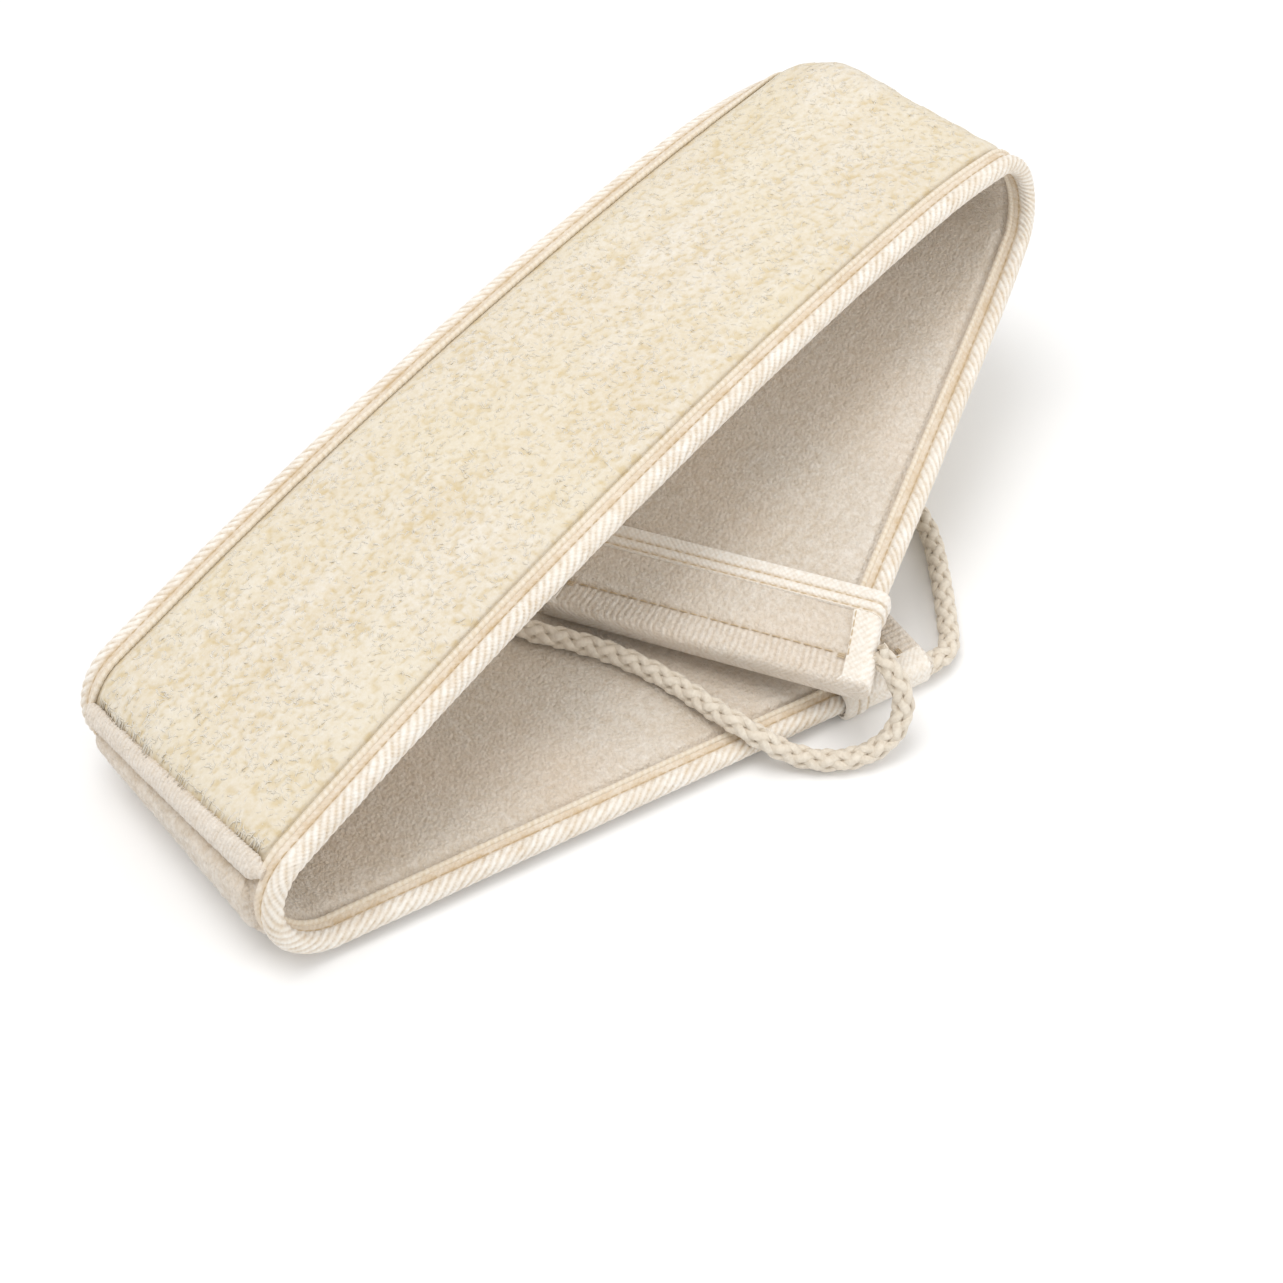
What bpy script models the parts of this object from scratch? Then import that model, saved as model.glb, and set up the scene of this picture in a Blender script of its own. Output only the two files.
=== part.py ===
"""Loofah back scrubber: a long strap with natural loofah outside and terry cloth inside, bound with
twill tape, folded into a lying triangular tube, with a rope loop at each end.

The strap is modelled flat and then folded. Its flat coordinates are, in metres:
    along   from the lower end (0) over the lying panel, the lower fold, the middle panel and the upper
            fold to the upper end (STRAP_END)
    across  from the front edge (negative) to the back edge (positive)
    out     through the thickness, negative on the terry side and positive on the loofah side
In the world X runs along the lying panel towards the lower end, Y from front to back and Z up. The origin
is in the middle of the lying panel's flat underside.
"""

import math
from collections import namedtuple

import bmesh
import bpy
from mathutils import Matrix, Vector

MM = 0.001

# Driving dimensions of the strap
STRAP_WIDTH = 100 * MM
LYING_LENGTH = 213 * MM
MIDDLE_LENGTH = 316 * MM
UPPER_LENGTH = 195 * MM
LOWER_FOLD_RADIUS = 16.5 * MM
LOWER_FOLD_TURN = math.radians(162.4)
LOWER_FOLD_SKEW = math.radians(9)
UPPER_FOLD_RADIUS = 18.6 * MM
UPPER_FOLD_TURN = math.radians(170.8)
UPPER_FOLD_SKEW = math.radians(8.7)
MIDDLE_BOW = math.radians(13)
FOLD_STEPS = 12
BOW_STEPS = 8

# The section through the strap
UNDERSIDE_OUT = 5.2 * MM
BINDING_LEG = 6.5 * MM
BINDING_THICKNESS = 0.8 * MM
BINDING_HALF_HEIGHT = 3.0 * MM
LAYER_MARGIN = 3.0 * MM
PIPING_INSET = 8.2 * MM
PIPING_RADIUS = 1.1 * MM
PIPING_OUT = 3.3 * MM
PIPING_CORNERS = 8
FIELD_INSET = 9.8 * MM

# The end caps, their hem tapes, the roll at the loofah's end and the rope loops
CAP_DEPTH = 35 * MM
CAP_WALL = 0.9 * MM
CAP_POCKET_LOW = -3.9 * MM
CAP_POCKET_HIGH = 3.3 * MM
CAP_CORNER = 2.4 * MM
LOWER_CAP_FLARE = 0
UPPER_CAP_FLARE = 4.5 * MM
CAP_ALLOWANCE = 3 * MM
HEM_WIDTH = 9 * MM
HEM_THICKNESS = 0.7 * MM
ROLL_RADIUS = 2.1 * MM
ROLL_CORNERS = 10
ROLL_OUT = 3.9 * MM
ROLL_SETBACK = 12 * MM
FACING_SETBACK = 15.5 * MM
LOOFAH_SETBACK = 8.8 * MM
LOOFAH_END_SLANT = math.radians(-4.7)
ROPE_DIAMETER = 7 * MM
ROPE_STEP = 2 * ROPE_DIAMETER
ROUTE_SAMPLES = 20

GAP = 0.3 * MM
HALF = STRAP_WIDTH / 2

Fold = namedtuple("Fold", "start skew radius turn")

LOWER_FOLD = Fold(LYING_LENGTH, -LOWER_FOLD_SKEW, LOWER_FOLD_RADIUS, LOWER_FOLD_TURN)
MIDDLE_START = LYING_LENGTH + LOWER_FOLD_RADIUS * LOWER_FOLD_TURN / math.cos(LOWER_FOLD_SKEW)
BOW = Fold(MIDDLE_START, 0, MIDDLE_LENGTH / MIDDLE_BOW, MIDDLE_BOW)
MIDDLE_END = MIDDLE_START + MIDDLE_LENGTH
UPPER_FOLD = Fold(MIDDLE_END, UPPER_FOLD_SKEW, UPPER_FOLD_RADIUS, UPPER_FOLD_TURN)
UPPER_START = MIDDLE_END + UPPER_FOLD_RADIUS * UPPER_FOLD_TURN / math.cos(UPPER_FOLD_SKEW)
STRAP_END = UPPER_START + UPPER_LENGTH

# Routes of the rope loops, from the front seam of their cap to the back one, in world metres
LOWER_ROPE_ROUTE = [
    (0.1087, -0.0475, 0.0054),
    (0.1128, -0.0467, 0.0048),
    (0.1168, -0.0445, 0.0043),
    (0.1199, -0.0411, 0.0040),
    (0.1241, -0.0346, 0.0040),
    (0.1305, -0.0243, 0.0040),
    (0.1367, -0.0136, 0.0040),
    (0.1422, -0.0032, 0.0040),
    (0.1460, 0.0072, 0.0040),
    (0.1470, 0.0182, 0.0040),
    (0.1440, 0.0290, 0.0040),
    (0.1370, 0.0384, 0.0041),
    (0.1274, 0.0446, 0.0045),
    (0.1178, 0.0472, 0.0050),
    (0.1087, 0.0475, 0.0054),
]
UPPER_ROPE_ROUTE = [
    (0.0808, -0.0552, 0.0266),
    (0.0828, -0.0600, 0.0212),
    (0.0824, -0.0642, 0.0146),
    (0.0780, -0.0670, 0.0089),
    (0.0710, -0.0677, 0.0054),
    (0.0626, -0.0660, 0.0040),
    (0.0544, -0.0622, 0.0042),
    (0.0473, -0.0570, 0.0060),
    (0.0406, -0.0518, 0.0107),
    (0.0356, -0.0448, 0.0138),
    (0.0328, -0.0360, 0.0132),
    (0.0300, -0.0260, 0.0129),
    (0.0263, -0.0160, 0.0129),
    (0.0216, -0.0062, 0.0129),
    (0.0154, 0.0038, 0.0129),
    (0.0084, 0.0126, 0.0129),
    (0.0012, 0.0206, 0.0129),
    (-0.0040, 0.0300, 0.0131),
    (-0.0026, 0.0404, 0.0142),
    (0.0046, 0.0476, 0.0148),
    (0.0144, 0.0484, 0.0163),
    (0.0241, 0.0422, 0.0186),
]

OBJECT_NAME = "loofah_back_scrubber"
NODE_COLOURS = {
    "cotton_terry": ((0.80, 0.72, 0.60), 0.95),
    "foam_padding": ((0.88, 0.86, 0.80), 0.95),
    "natural_loofah": ((0.86, 0.76, 0.52), 0.85),
    "twill_tape": ((0.83, 0.76, 0.64), 0.90),
    "piping_cord": ((0.86, 0.80, 0.70), 0.90),
    "cotton_rope": ((0.80, 0.74, 0.65), 0.90),
}


def clear_scene():
    for thing in list(bpy.data.objects):
        bpy.data.objects.remove(thing)


def material(name, colour, roughness):
    made = bpy.data.materials.new(name)
    made.use_nodes = True
    shader = made.node_tree.nodes["Principled BSDF"]
    shader.inputs["Base Color"].default_value = (*colour, 1)
    shader.inputs["Roughness"].default_value = roughness
    shader.inputs["Metallic"].default_value = 0
    return made


# ---- folding -------------------------------------------------------------------------------------

LYING_DOWN = Matrix((
    (-1, 0, 0, LYING_LENGTH / 2),
    (0, 1, 0, 0),
    (0, 0, -1, UNDERSIDE_OUT),
    (0, 0, 0, 1),
))


def turned_by(fold, angle):
    """The rigid motion of a cross line of the flat strap that has gone this far round a fold."""
    there = Matrix.Translation((fold.start, 0, 0)) @ Matrix.Rotation(fold.skew, 4, "Z")
    drop = fold.radius * (math.cos(angle) - 1)
    bend = Matrix.Translation((fold.radius * math.sin(angle), 0, drop)) @ Matrix.Rotation(angle, 4, "Y")
    return there @ bend @ Matrix.Translation((-fold.radius * angle, 0, 0)) @ there.inverted()


def angle_at(fold, flat):
    """How far a point of the flat strap goes round a fold."""
    past = (flat.x - fold.start) * math.cos(fold.skew) + flat.y * math.sin(fold.skew)
    return min(max(past / fold.radius, 0), fold.turn)


def folded(flat):
    """Where a point of the flat strap lies in the world once the strap is folded."""
    place = flat.copy()
    for fold in (UPPER_FOLD, BOW, LOWER_FOLD):
        place = turned_by(fold, angle_at(fold, flat)) @ place
    return LYING_DOWN @ place


def hinge_of(fold):
    """The middle of the line that the strap opens about, so that it keeps its length when flat."""
    half = fold.turn / 2
    ahead = fold.radius * half
    drop = fold.radius * (half / math.tan(half) - 1)
    return Vector((fold.start + ahead * math.cos(fold.skew), ahead * math.sin(fold.skew), drop))


def halves(fold):
    """A fold opens about two lines, one for each half of its bend."""
    half = fold.turn / 2
    halfway = fold.start + fold.radius * half / math.cos(fold.skew)
    return Fold(fold.start, fold.skew, fold.radius, half), Fold(halfway, fold.skew, fold.radius, half)


def hinges_of(fold, before):
    """Both opening lines' middles in the world; before is the motion of what comes ahead of the fold."""
    near, far = halves(fold)
    return before @ hinge_of(near), before @ turned_by(fold, near.turn) @ hinge_of(far)


def fold_mesh(mesh):
    for vertex in mesh.verts:
        vertex.co = folded(vertex.co)


# ---- objects -------------------------------------------------------------------------------------


def face_outwards(mesh):
    """Turns every face away from the piece's middle, also on a sleeve that is open at its ends."""
    bmesh.ops.recalc_face_normals(mesh, faces=mesh.faces)
    middle = sum((vertex.co for vertex in mesh.verts), Vector()) / len(mesh.verts)
    outward = sum(
        face.calc_area() * face.normal.dot(face.calc_center_median() - middle) for face in mesh.faces
    )
    if outward < 0:
        bmesh.ops.reverse_faces(mesh, faces=mesh.faces)


def to_object(name, mesh):
    """An object from a bmesh in world coordinates."""
    face_outwards(mesh)
    data = bpy.data.meshes.new(name)
    mesh.to_mesh(data)
    mesh.free()
    data.shade_smooth()
    data.set_sharp_from_angle(angle=math.radians(40))
    return bpy.data.objects.new(name, data)


def place(thing, surface, group, body):
    """Gives a piece in world coordinates its body's empty as its origin and parent."""
    thing.data.transform(Matrix.Translation(-body.matrix_world.translation))
    thing.parent = body
    thing.data.materials.append(surface)
    group.objects.link(thing)


def pivot(name, location):
    """An empty on a joint's axis, which the pieces of one body are parented to."""
    empty = bpy.data.objects.new(name, None)
    empty.empty_display_size = 20 * MM
    empty.location = location
    bpy.context.scene.collection.objects.link(empty)
    bpy.context.view_layer.update()
    return empty


# ---- outlines across the strap: lists of (across, out) -------------------------------------------


def both_sides(half_outline):
    """Completes an outline given for the back half, from the middle outwards."""
    mirrored = [(-across, out) for across, out in reversed(half_outline) if across > 0]
    return mirrored + half_outline


def layer_outline(upper, lower):
    """A layer across the whole strap from the back half of its upper and its lower face."""
    return both_sides(upper) + both_sides(lower)[::-1]


MARGIN_EDGE = HALF - LAYER_MARGIN
FIELD_EDGE = HALF - FIELD_INSET

# The faces of the layers from the middle outwards: full in the field, pressed thin in the seam margin
TERRY_OUTLINE = layer_outline(
    [
        (0, -1.6 * MM),
        (FIELD_EDGE - 1.5 * MM, -1.6 * MM),
        (FIELD_EDGE + 0.5 * MM, -0.8 * MM),
        (MARGIN_EDGE, -0.8 * MM),
    ],
    [
        (0, -3.6 * MM),
        (FIELD_EDGE - 2 * MM, -3.6 * MM),
        (FIELD_EDGE, -1.9 * MM),
        (MARGIN_EDGE, -1.9 * MM),
    ],
)
PADDING_OUTLINE = layer_outline(
    [(0, 1.3 * MM), (FIELD_EDGE - 2 * MM, 1.3 * MM), (FIELD_EDGE - 0.5 * MM, 0.5 * MM)],
    [(0, -1.3 * MM), (FIELD_EDGE - 2 * MM, -1.3 * MM), (FIELD_EDGE - 0.5 * MM, -0.5 * MM)],
)
COVER_INNER_FACE = [
    (0, 1.6 * MM),
    (FIELD_EDGE - 1.5 * MM, 1.6 * MM),
    (FIELD_EDGE + 0.5 * MM, 0.8 * MM),
    (MARGIN_EDGE, 0.8 * MM),
]
LOOFAH_OUTLINE = layer_outline(
    [
        (0, 5.6 * MM),
        (18 * MM, 5.4 * MM),
        (30 * MM, 4.9 * MM),
        (FIELD_EDGE - 3 * MM, 4.2 * MM),
        (FIELD_EDGE - 0.6 * MM, 3 * MM),
        (FIELD_EDGE, 1.9 * MM),
        (MARGIN_EDGE, 1.9 * MM),
    ],
    COVER_INNER_FACE,
)
FACING_OUTLINE = layer_outline(
    [
        (0, UNDERSIDE_OUT),
        (FIELD_EDGE - 2 * MM, UNDERSIDE_OUT),
        (FIELD_EDGE - 0.4 * MM, 4 * MM),
        (FIELD_EDGE, 1.9 * MM),
        (MARGIN_EDGE, 1.9 * MM),
    ],
    COVER_INNER_FACE,
)


def binding_outline(side):
    """Tape folded round the edge: side is -1 for the front edge and 1 for the back edge."""
    high = BINDING_HALF_HEIGHT
    low = high - BINDING_THICKNESS
    outer = [
        (HALF - BINDING_LEG, high),
        (HALF - 2.4 * MM, high),
        (HALF - 0.7 * MM, 0.75 * high),
        (HALF, 0.3 * high),
    ]
    inner = [
        (HALF - BINDING_LEG, low),
        (HALF - 2.8 * MM, low),
        (HALF - 1.3 * MM, 0.68 * low),
        (HALF - BINDING_THICKNESS, 0.27 * low),
    ]
    outer += [(across, -out) for across, out in reversed(outer)]
    inner += [(across, -out) for across, out in reversed(inner)]
    return [(side * across, out) for across, out in outer + inner[::-1]]


def piping_outline(side, face):
    """A round cord beside the tape: face is -1 on the terry side and 1 on the loofah side."""
    centre_across = side * (HALF - PIPING_INSET)
    centre_out = face * PIPING_OUT
    turns = [2 * math.pi * (k + 0.5) / PIPING_CORNERS for k in range(PIPING_CORNERS)]
    return [
        (centre_across + PIPING_RADIUS * math.cos(turn), centre_out + PIPING_RADIUS * math.sin(turn))
        for turn in turns
    ]


def sleeve_outline(half_width, low, high, corner):
    """A flattened oblong round the strap's section, with rounded corners."""
    rounding = [(0, corner), (0.3 * corner, 0.3 * corner), (corner, 0)]
    upper = [(half_width - inward, high - down) for inward, down in rounding]
    upper += [(-across, out) for across, out in reversed(upper)]
    return upper + [(across, low + high - out) for across, out in reversed(upper)]


# ---- strips and sleeves: outlines carried along the flat strap, then folded ----------------------


def stations(first, last, steps):
    """Cross lines from first to last, each (along, slant); both ends keep half a gap."""
    start, start_slant = first
    end, end_slant = last
    start += GAP / 2
    end -= GAP / 2
    shares = [k / steps for k in range(steps + 1)]
    return [
        (start + (end - start) * share, start_slant + (end_slant - start_slant) * share)
        for share in shares
    ]


def extruded(outline, rings):
    """The outline's closed ring extruded once for each further ring; returns the mesh and its rings."""
    mesh = bmesh.new()
    first = [mesh.verts.new((0, across, out)) for across, out in outline]
    edges = [mesh.edges.new((first[k - 1], first[k])) for k in range(len(first))]
    made_rings = [first]
    for _ in range(rings - 1):
        made = bmesh.ops.extrude_edge_only(mesh, edges=edges)["geom"]
        edges = [part for part in made if isinstance(part, bmesh.types.BMEdge) and part.is_boundary]
        made_rings.append([part for part in made if isinstance(part, bmesh.types.BMVert)])
    return mesh, made_rings


def strip(outline, lines):
    """One outline carried through the cross lines, closed at both ends and folded."""
    mesh, rings = extruded(outline, len(lines))
    for ring, (along, slant) in zip(rings, lines):
        for vertex in ring:
            vertex.co.x = along - vertex.co.y * math.tan(slant)
    bmesh.ops.holes_fill(mesh, edges=[edge for edge in mesh.edges if edge.is_boundary])
    fold_mesh(mesh)
    return mesh


def sleeve(profile, low, high, along_at, close_end):
    """Oblong rings skinned into an open sleeve and folded.

    profile lists (back, half_width, thinner): how far the ring is from the strap's end, its half
    width, and how much it is pressed in from low and high. close_end fills the last ring.
    """
    _, half_width, thinner = profile[0]
    outline = sleeve_outline(half_width, low + thinner, high - thinner, CAP_CORNER)
    mesh, rings = extruded(outline, len(profile))
    middle = (low + high) / 2
    half_height = (high - low) / 2
    for ring, (back, wide, thin) in zip(rings, profile):
        for vertex in ring:
            vertex.co.x = along_at(back)
            vertex.co.y += math.copysign(wide - half_width, vertex.co.y)
            vertex.co.z = middle + (vertex.co.z - middle) * (half_height - thin) / half_height
    if close_end:
        bmesh.ops.contextual_create(mesh, geom=[edge for edge in mesh.edges if is_edge_of(edge, rings[-1])])
    fold_mesh(mesh)
    return mesh


def is_edge_of(edge, ring):
    return edge.verts[0] in ring and edge.verts[1] in ring


def thickened(thing, thickness, offset):
    wall = thing.modifiers.new("wall", "SOLIDIFY")
    wall.thickness = thickness
    wall.offset = offset
    wall.use_even_offset = True
    return thing


# ---- the pieces ----------------------------------------------------------------------------------


def end_cap(name, along_at, flare):
    """A terry sock over the strap's end; flare is how far each side widens towards the closed end."""
    width = HALF + GAP + CAP_WALL
    profile = [
        (CAP_DEPTH, width, 0),
        (CAP_DEPTH - HEM_WIDTH - GAP, width, 0),
        (14 * MM, width + 0.6 * flare, 0),
        (2 * MM, width + flare, 0),
        (0.6 * MM, width + flare - 0.8 * MM, 0.8 * MM),
        (0, width + flare - 2.4 * MM, 2 * MM),
    ]
    low = CAP_POCKET_LOW - CAP_WALL
    high = CAP_POCKET_HIGH + CAP_WALL
    return thickened(to_object(name, sleeve(profile, low, high, along_at, True)), CAP_WALL, -1)


def cap_hem(name, along_at):
    """The tape round the cap's mouth."""
    clear = CAP_WALL + GAP
    width = HALF + GAP + clear
    profile = [(CAP_DEPTH, width, 0), (CAP_DEPTH - HEM_WIDTH, width, 0)]
    mesh = sleeve(profile, CAP_POCKET_LOW - clear, CAP_POCKET_HIGH + clear, along_at, False)
    return thickened(to_object(name, mesh), HEM_THICKNESS, 1)


def loofah_end_hem(name):
    """The rolled terry hem across the strap where the loofah starts."""
    half_length = HALF - BINDING_LEG - 2 * GAP
    mesh = bmesh.new()
    bmesh.ops.create_cone(
        mesh,
        cap_ends=True,
        segments=ROLL_CORNERS,
        radius1=ROLL_RADIUS,
        radius2=ROLL_RADIUS,
        depth=2 * half_length,
    )
    bmesh.ops.rotate(mesh, verts=mesh.verts, matrix=Matrix.Rotation(math.pi / 2, 3, "X"))
    for vertex in mesh.verts:
        slanted = vertex.co.y * math.tan(LOOFAH_END_SLANT)
        vertex.co += Vector((MIDDLE_START - ROLL_SETBACK - slanted, 0, ROLL_OUT))
    fold_mesh(mesh)
    return to_object(name, mesh)


def smooth_route(route, step):
    """Evenly spaced points on the smooth curve through the route's own points."""
    knots = [Vector(point) for point in route]
    knots = [2 * knots[0] - knots[1]] + knots + [2 * knots[-1] - knots[-2]]
    fine = []
    for before, here, ahead, after in zip(knots, knots[1:], knots[2:], knots[3:]):
        for share in (k / ROUTE_SAMPLES for k in range(ROUTE_SAMPLES)):
            fine.append(0.5 * (
                2 * here
                + (ahead - before) * share
                + (2 * before - 5 * here + 4 * ahead - after) * share ** 2
                + (3 * here - before - 3 * ahead + after) * share ** 3
            ))
    fine.append(knots[-2])
    reach = [0]
    for near, far in zip(fine, fine[1:]):
        reach.append(reach[-1] + (far - near).length)
    count = round(reach[-1] / step)
    points = [fine[0]]
    for wanted in (reach[-1] * k / count for k in range(1, count)):
        k = next(index for index, gone in enumerate(reach) if gone >= wanted)
        share = (wanted - reach[k - 1]) / (reach[k] - reach[k - 1])
        points.append(fine[k - 1].lerp(fine[k], share))
    return points + [fine[-1]]


def rope_loop(name, route):
    points = smooth_route(route, ROPE_STEP)
    data = bpy.data.curves.new(name, "CURVE")
    data.dimensions = "3D"
    data.bevel_depth = ROPE_DIAMETER / 2
    data.bevel_resolution = 2
    data.use_fill_caps = True
    spline = data.splines.new("POLY")
    spline.points.add(len(points) - 1)
    for spot, point in zip(spline.points, points):
        spot.co = (*point, 1)
        spot.tilt = 0
    spline.use_smooth = True
    return bpy.data.objects.new(name, data)


# ---- the strap's five stretches ------------------------------------------------------------------

LOWER_FOLD_LINE = (LYING_LENGTH, LOWER_FOLD.skew)
MIDDLE_LINE = (MIDDLE_START, LOWER_FOLD.skew)
UPPER_FOLD_LINE = (MIDDLE_END, UPPER_FOLD.skew)
UPPER_LINE = (UPPER_START, UPPER_FOLD.skew)
LOWER_HEM_LINE = (CAP_DEPTH + GAP / 2, 0)
UPPER_HEM_LINE = (STRAP_END - CAP_DEPTH - GAP / 2, 0)
FACING_END_LINE = (MIDDLE_START - FACING_SETBACK, LOOFAH_END_SLANT)
LOOFAH_START_LINE = (MIDDLE_START - LOOFAH_SETBACK, LOOFAH_END_SLANT)

# layers, trim, facing and loofah are the cross lines between which the stretch has them
Stretch = namedtuple("Stretch", "name body steps layers trim facing loofah")

STRETCHES = [
    Stretch(
        name="lower_panel", body="lower_end", steps=1,
        layers=((CAP_ALLOWANCE, 0), LOWER_FOLD_LINE), trim=(LOWER_HEM_LINE, LOWER_FOLD_LINE),
        facing=(LOWER_HEM_LINE, LOWER_FOLD_LINE), loofah=None,
    ),
    Stretch(
        name="lower_fold", body="lower_bend", steps=FOLD_STEPS,
        layers=(LOWER_FOLD_LINE, MIDDLE_LINE), trim=(LOWER_FOLD_LINE, MIDDLE_LINE),
        facing=(LOWER_FOLD_LINE, FACING_END_LINE), loofah=(LOOFAH_START_LINE, MIDDLE_LINE),
    ),
    Stretch(
        name="middle_panel", body="middle", steps=BOW_STEPS,
        layers=(MIDDLE_LINE, UPPER_FOLD_LINE), trim=(MIDDLE_LINE, UPPER_FOLD_LINE),
        facing=None, loofah=(MIDDLE_LINE, UPPER_FOLD_LINE),
    ),
    Stretch(
        name="upper_fold", body="upper_bend", steps=FOLD_STEPS,
        layers=(UPPER_FOLD_LINE, UPPER_LINE), trim=(UPPER_FOLD_LINE, UPPER_LINE),
        facing=None, loofah=(UPPER_FOLD_LINE, UPPER_LINE),
    ),
    Stretch(
        name="upper_panel", body="upper_end", steps=1,
        layers=(UPPER_LINE, (STRAP_END - CAP_ALLOWANCE, 0)), trim=(UPPER_LINE, UPPER_HEM_LINE),
        facing=None, loofah=(UPPER_LINE, UPPER_HEM_LINE),
    ),
]
SIDES = {"front": -1, "back": 1}


def pieces_of(stretch):
    """Each piece of one stretch, as its name's ending, its surface, its outline and its cross lines."""
    layers = stations(*stretch.layers, stretch.steps)
    trim = stations(*stretch.trim, stretch.steps)
    yield "terry_backing", "cotton_terry", TERRY_OUTLINE, layers
    yield "padding", "foam_padding", PADDING_OUTLINE, layers
    if stretch.facing:
        yield "terry_facing", "cotton_terry", FACING_OUTLINE, stations(*stretch.facing, stretch.steps)
    if stretch.loofah:
        yield "loofah", "natural_loofah", LOOFAH_OUTLINE, stations(*stretch.loofah, stretch.steps)
    for label, side in SIDES.items():
        yield f"{label}_binding", "twill_tape", binding_outline(side), layers
        yield f"{label}_inner_piping", "piping_cord", piping_outline(side, -1), trim
        if stretch.loofah:
            outer = stations(*stretch.loofah, stretch.steps)
            yield f"{label}_outer_piping", "piping_cord", piping_outline(side, 1), outer


def from_lower_end(back):
    return back


def from_upper_end(back):
    return STRAP_END - back


def middle_of_ends(route):
    return (Vector(route[0]) + Vector(route[-1])) / 2


def main():
    clear_scene()
    group = bpy.data.collections.new(OBJECT_NAME)
    bpy.context.scene.collection.children.link(group)
    surfaces = {name: material(name, *look) for name, look in NODE_COLOURS.items()}
    past_the_bow = LYING_DOWN @ turned_by(LOWER_FOLD, LOWER_FOLD.turn) @ turned_by(BOW, BOW.turn)
    lower_near, lower_far = hinges_of(LOWER_FOLD, LYING_DOWN)
    upper_near, upper_far = hinges_of(UPPER_FOLD, past_the_bow)
    bodies = {
        "lower_end": pivot("lower_end_body", Vector()),
        "lower_bend": pivot("lower_bend_body", lower_near),
        "middle": pivot("middle_body", lower_far),
        "upper_bend": pivot("upper_bend_body", upper_near),
        "upper_end": pivot("upper_end_body", upper_far),
        "lower_rope": pivot("lower_rope_body", middle_of_ends(LOWER_ROPE_ROUTE)),
        "upper_rope": pivot("upper_rope_body", middle_of_ends(UPPER_ROPE_ROUTE)),
    }
    for stretch in STRETCHES:
        for ending, surface, outline, lines in pieces_of(stretch):
            piece = to_object(f"{stretch.name}_{ending}", strip(outline, lines))
            place(piece, surfaces[surface], group, bodies[stretch.body])
    ends = (("lower", from_lower_end, LOWER_CAP_FLARE), ("upper", from_upper_end, UPPER_CAP_FLARE))
    for end, along_at, flare in ends:
        body = bodies[f"{end}_end"]
        place(end_cap(f"{end}_end_cap", along_at, flare), surfaces["cotton_terry"], group, body)
        place(cap_hem(f"{end}_cap_hem", along_at), surfaces["twill_tape"], group, body)
    place(loofah_end_hem("loofah_end_hem"), surfaces["cotton_terry"], group, bodies["lower_bend"])
    for end, route in (("lower", LOWER_ROPE_ROUTE), ("upper", UPPER_ROPE_ROUTE)):
        rope = rope_loop(f"{end}_rope_loop", route)
        place(rope, surfaces["cotton_rope"], group, bodies[f"{end}_rope"])


main()
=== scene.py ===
import math
from collections import namedtuple

import bpy
import numpy as np
from mathutils import Matrix, Vector


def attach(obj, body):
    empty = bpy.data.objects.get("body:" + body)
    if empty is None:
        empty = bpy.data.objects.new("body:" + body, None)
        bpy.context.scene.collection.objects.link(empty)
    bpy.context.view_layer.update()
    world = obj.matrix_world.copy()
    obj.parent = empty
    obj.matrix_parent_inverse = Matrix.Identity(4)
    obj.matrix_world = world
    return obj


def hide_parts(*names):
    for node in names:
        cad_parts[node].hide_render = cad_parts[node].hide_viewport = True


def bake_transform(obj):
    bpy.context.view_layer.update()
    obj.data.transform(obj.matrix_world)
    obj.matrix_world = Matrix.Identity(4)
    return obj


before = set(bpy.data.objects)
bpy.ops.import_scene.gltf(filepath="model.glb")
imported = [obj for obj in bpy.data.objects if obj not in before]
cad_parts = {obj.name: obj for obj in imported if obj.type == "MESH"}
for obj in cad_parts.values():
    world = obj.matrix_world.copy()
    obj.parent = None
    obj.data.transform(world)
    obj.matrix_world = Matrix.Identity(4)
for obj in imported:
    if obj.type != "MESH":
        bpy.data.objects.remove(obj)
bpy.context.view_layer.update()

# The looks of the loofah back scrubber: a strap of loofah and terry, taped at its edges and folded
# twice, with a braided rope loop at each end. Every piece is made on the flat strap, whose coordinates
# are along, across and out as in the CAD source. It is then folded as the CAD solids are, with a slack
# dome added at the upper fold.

MM = 0.001

# ---- the strap's dimensions, as in the CAD source ----

STRAP_WIDTH = 100 * MM
LYING_LENGTH = 213 * MM
MIDDLE_LENGTH = 316 * MM
UPPER_LENGTH = 195 * MM
LOWER_FOLD_RADIUS = 16.5 * MM
LOWER_FOLD_TURN = math.radians(162.4)
LOWER_FOLD_SKEW = math.radians(9)
UPPER_FOLD_RADIUS = 18.6 * MM
UPPER_FOLD_TURN = math.radians(170.8)
UPPER_FOLD_SKEW = math.radians(8.7)
MIDDLE_BOW = math.radians(13)
UNDERSIDE_OUT = 5.2 * MM
BINDING_THICKNESS = 0.8 * MM
BINDING_HALF_HEIGHT = 3.0 * MM
LAYER_MARGIN = 3.0 * MM
FIELD_INSET = 9.8 * MM
CAP_DEPTH = 35 * MM
CAP_WALL = 0.9 * MM
CAP_LOW = -4.8 * MM
CAP_HIGH = 4.2 * MM
LOWER_CAP_FLARE = 0
UPPER_CAP_FLARE = 4.5 * MM
CAP_ALLOWANCE = 3 * MM
HEM_WIDTH = 9 * MM
ROLL_RADIUS = 2.1 * MM
ROLL_OUT = 3.9 * MM
ROLL_SETBACK = 12 * MM
FACING_SETBACK = 15.5 * MM
LOOFAH_SETBACK = 8.8 * MM
LOOFAH_END_SLANT = math.radians(-4.7)
GAP = 0.3 * MM
HALF = STRAP_WIDTH / 2
MARGIN_EDGE = HALF - LAYER_MARGIN
FIELD_EDGE = HALF - FIELD_INSET
CAP_HALF_WIDTH = HALF + GAP + CAP_WALL

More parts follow.
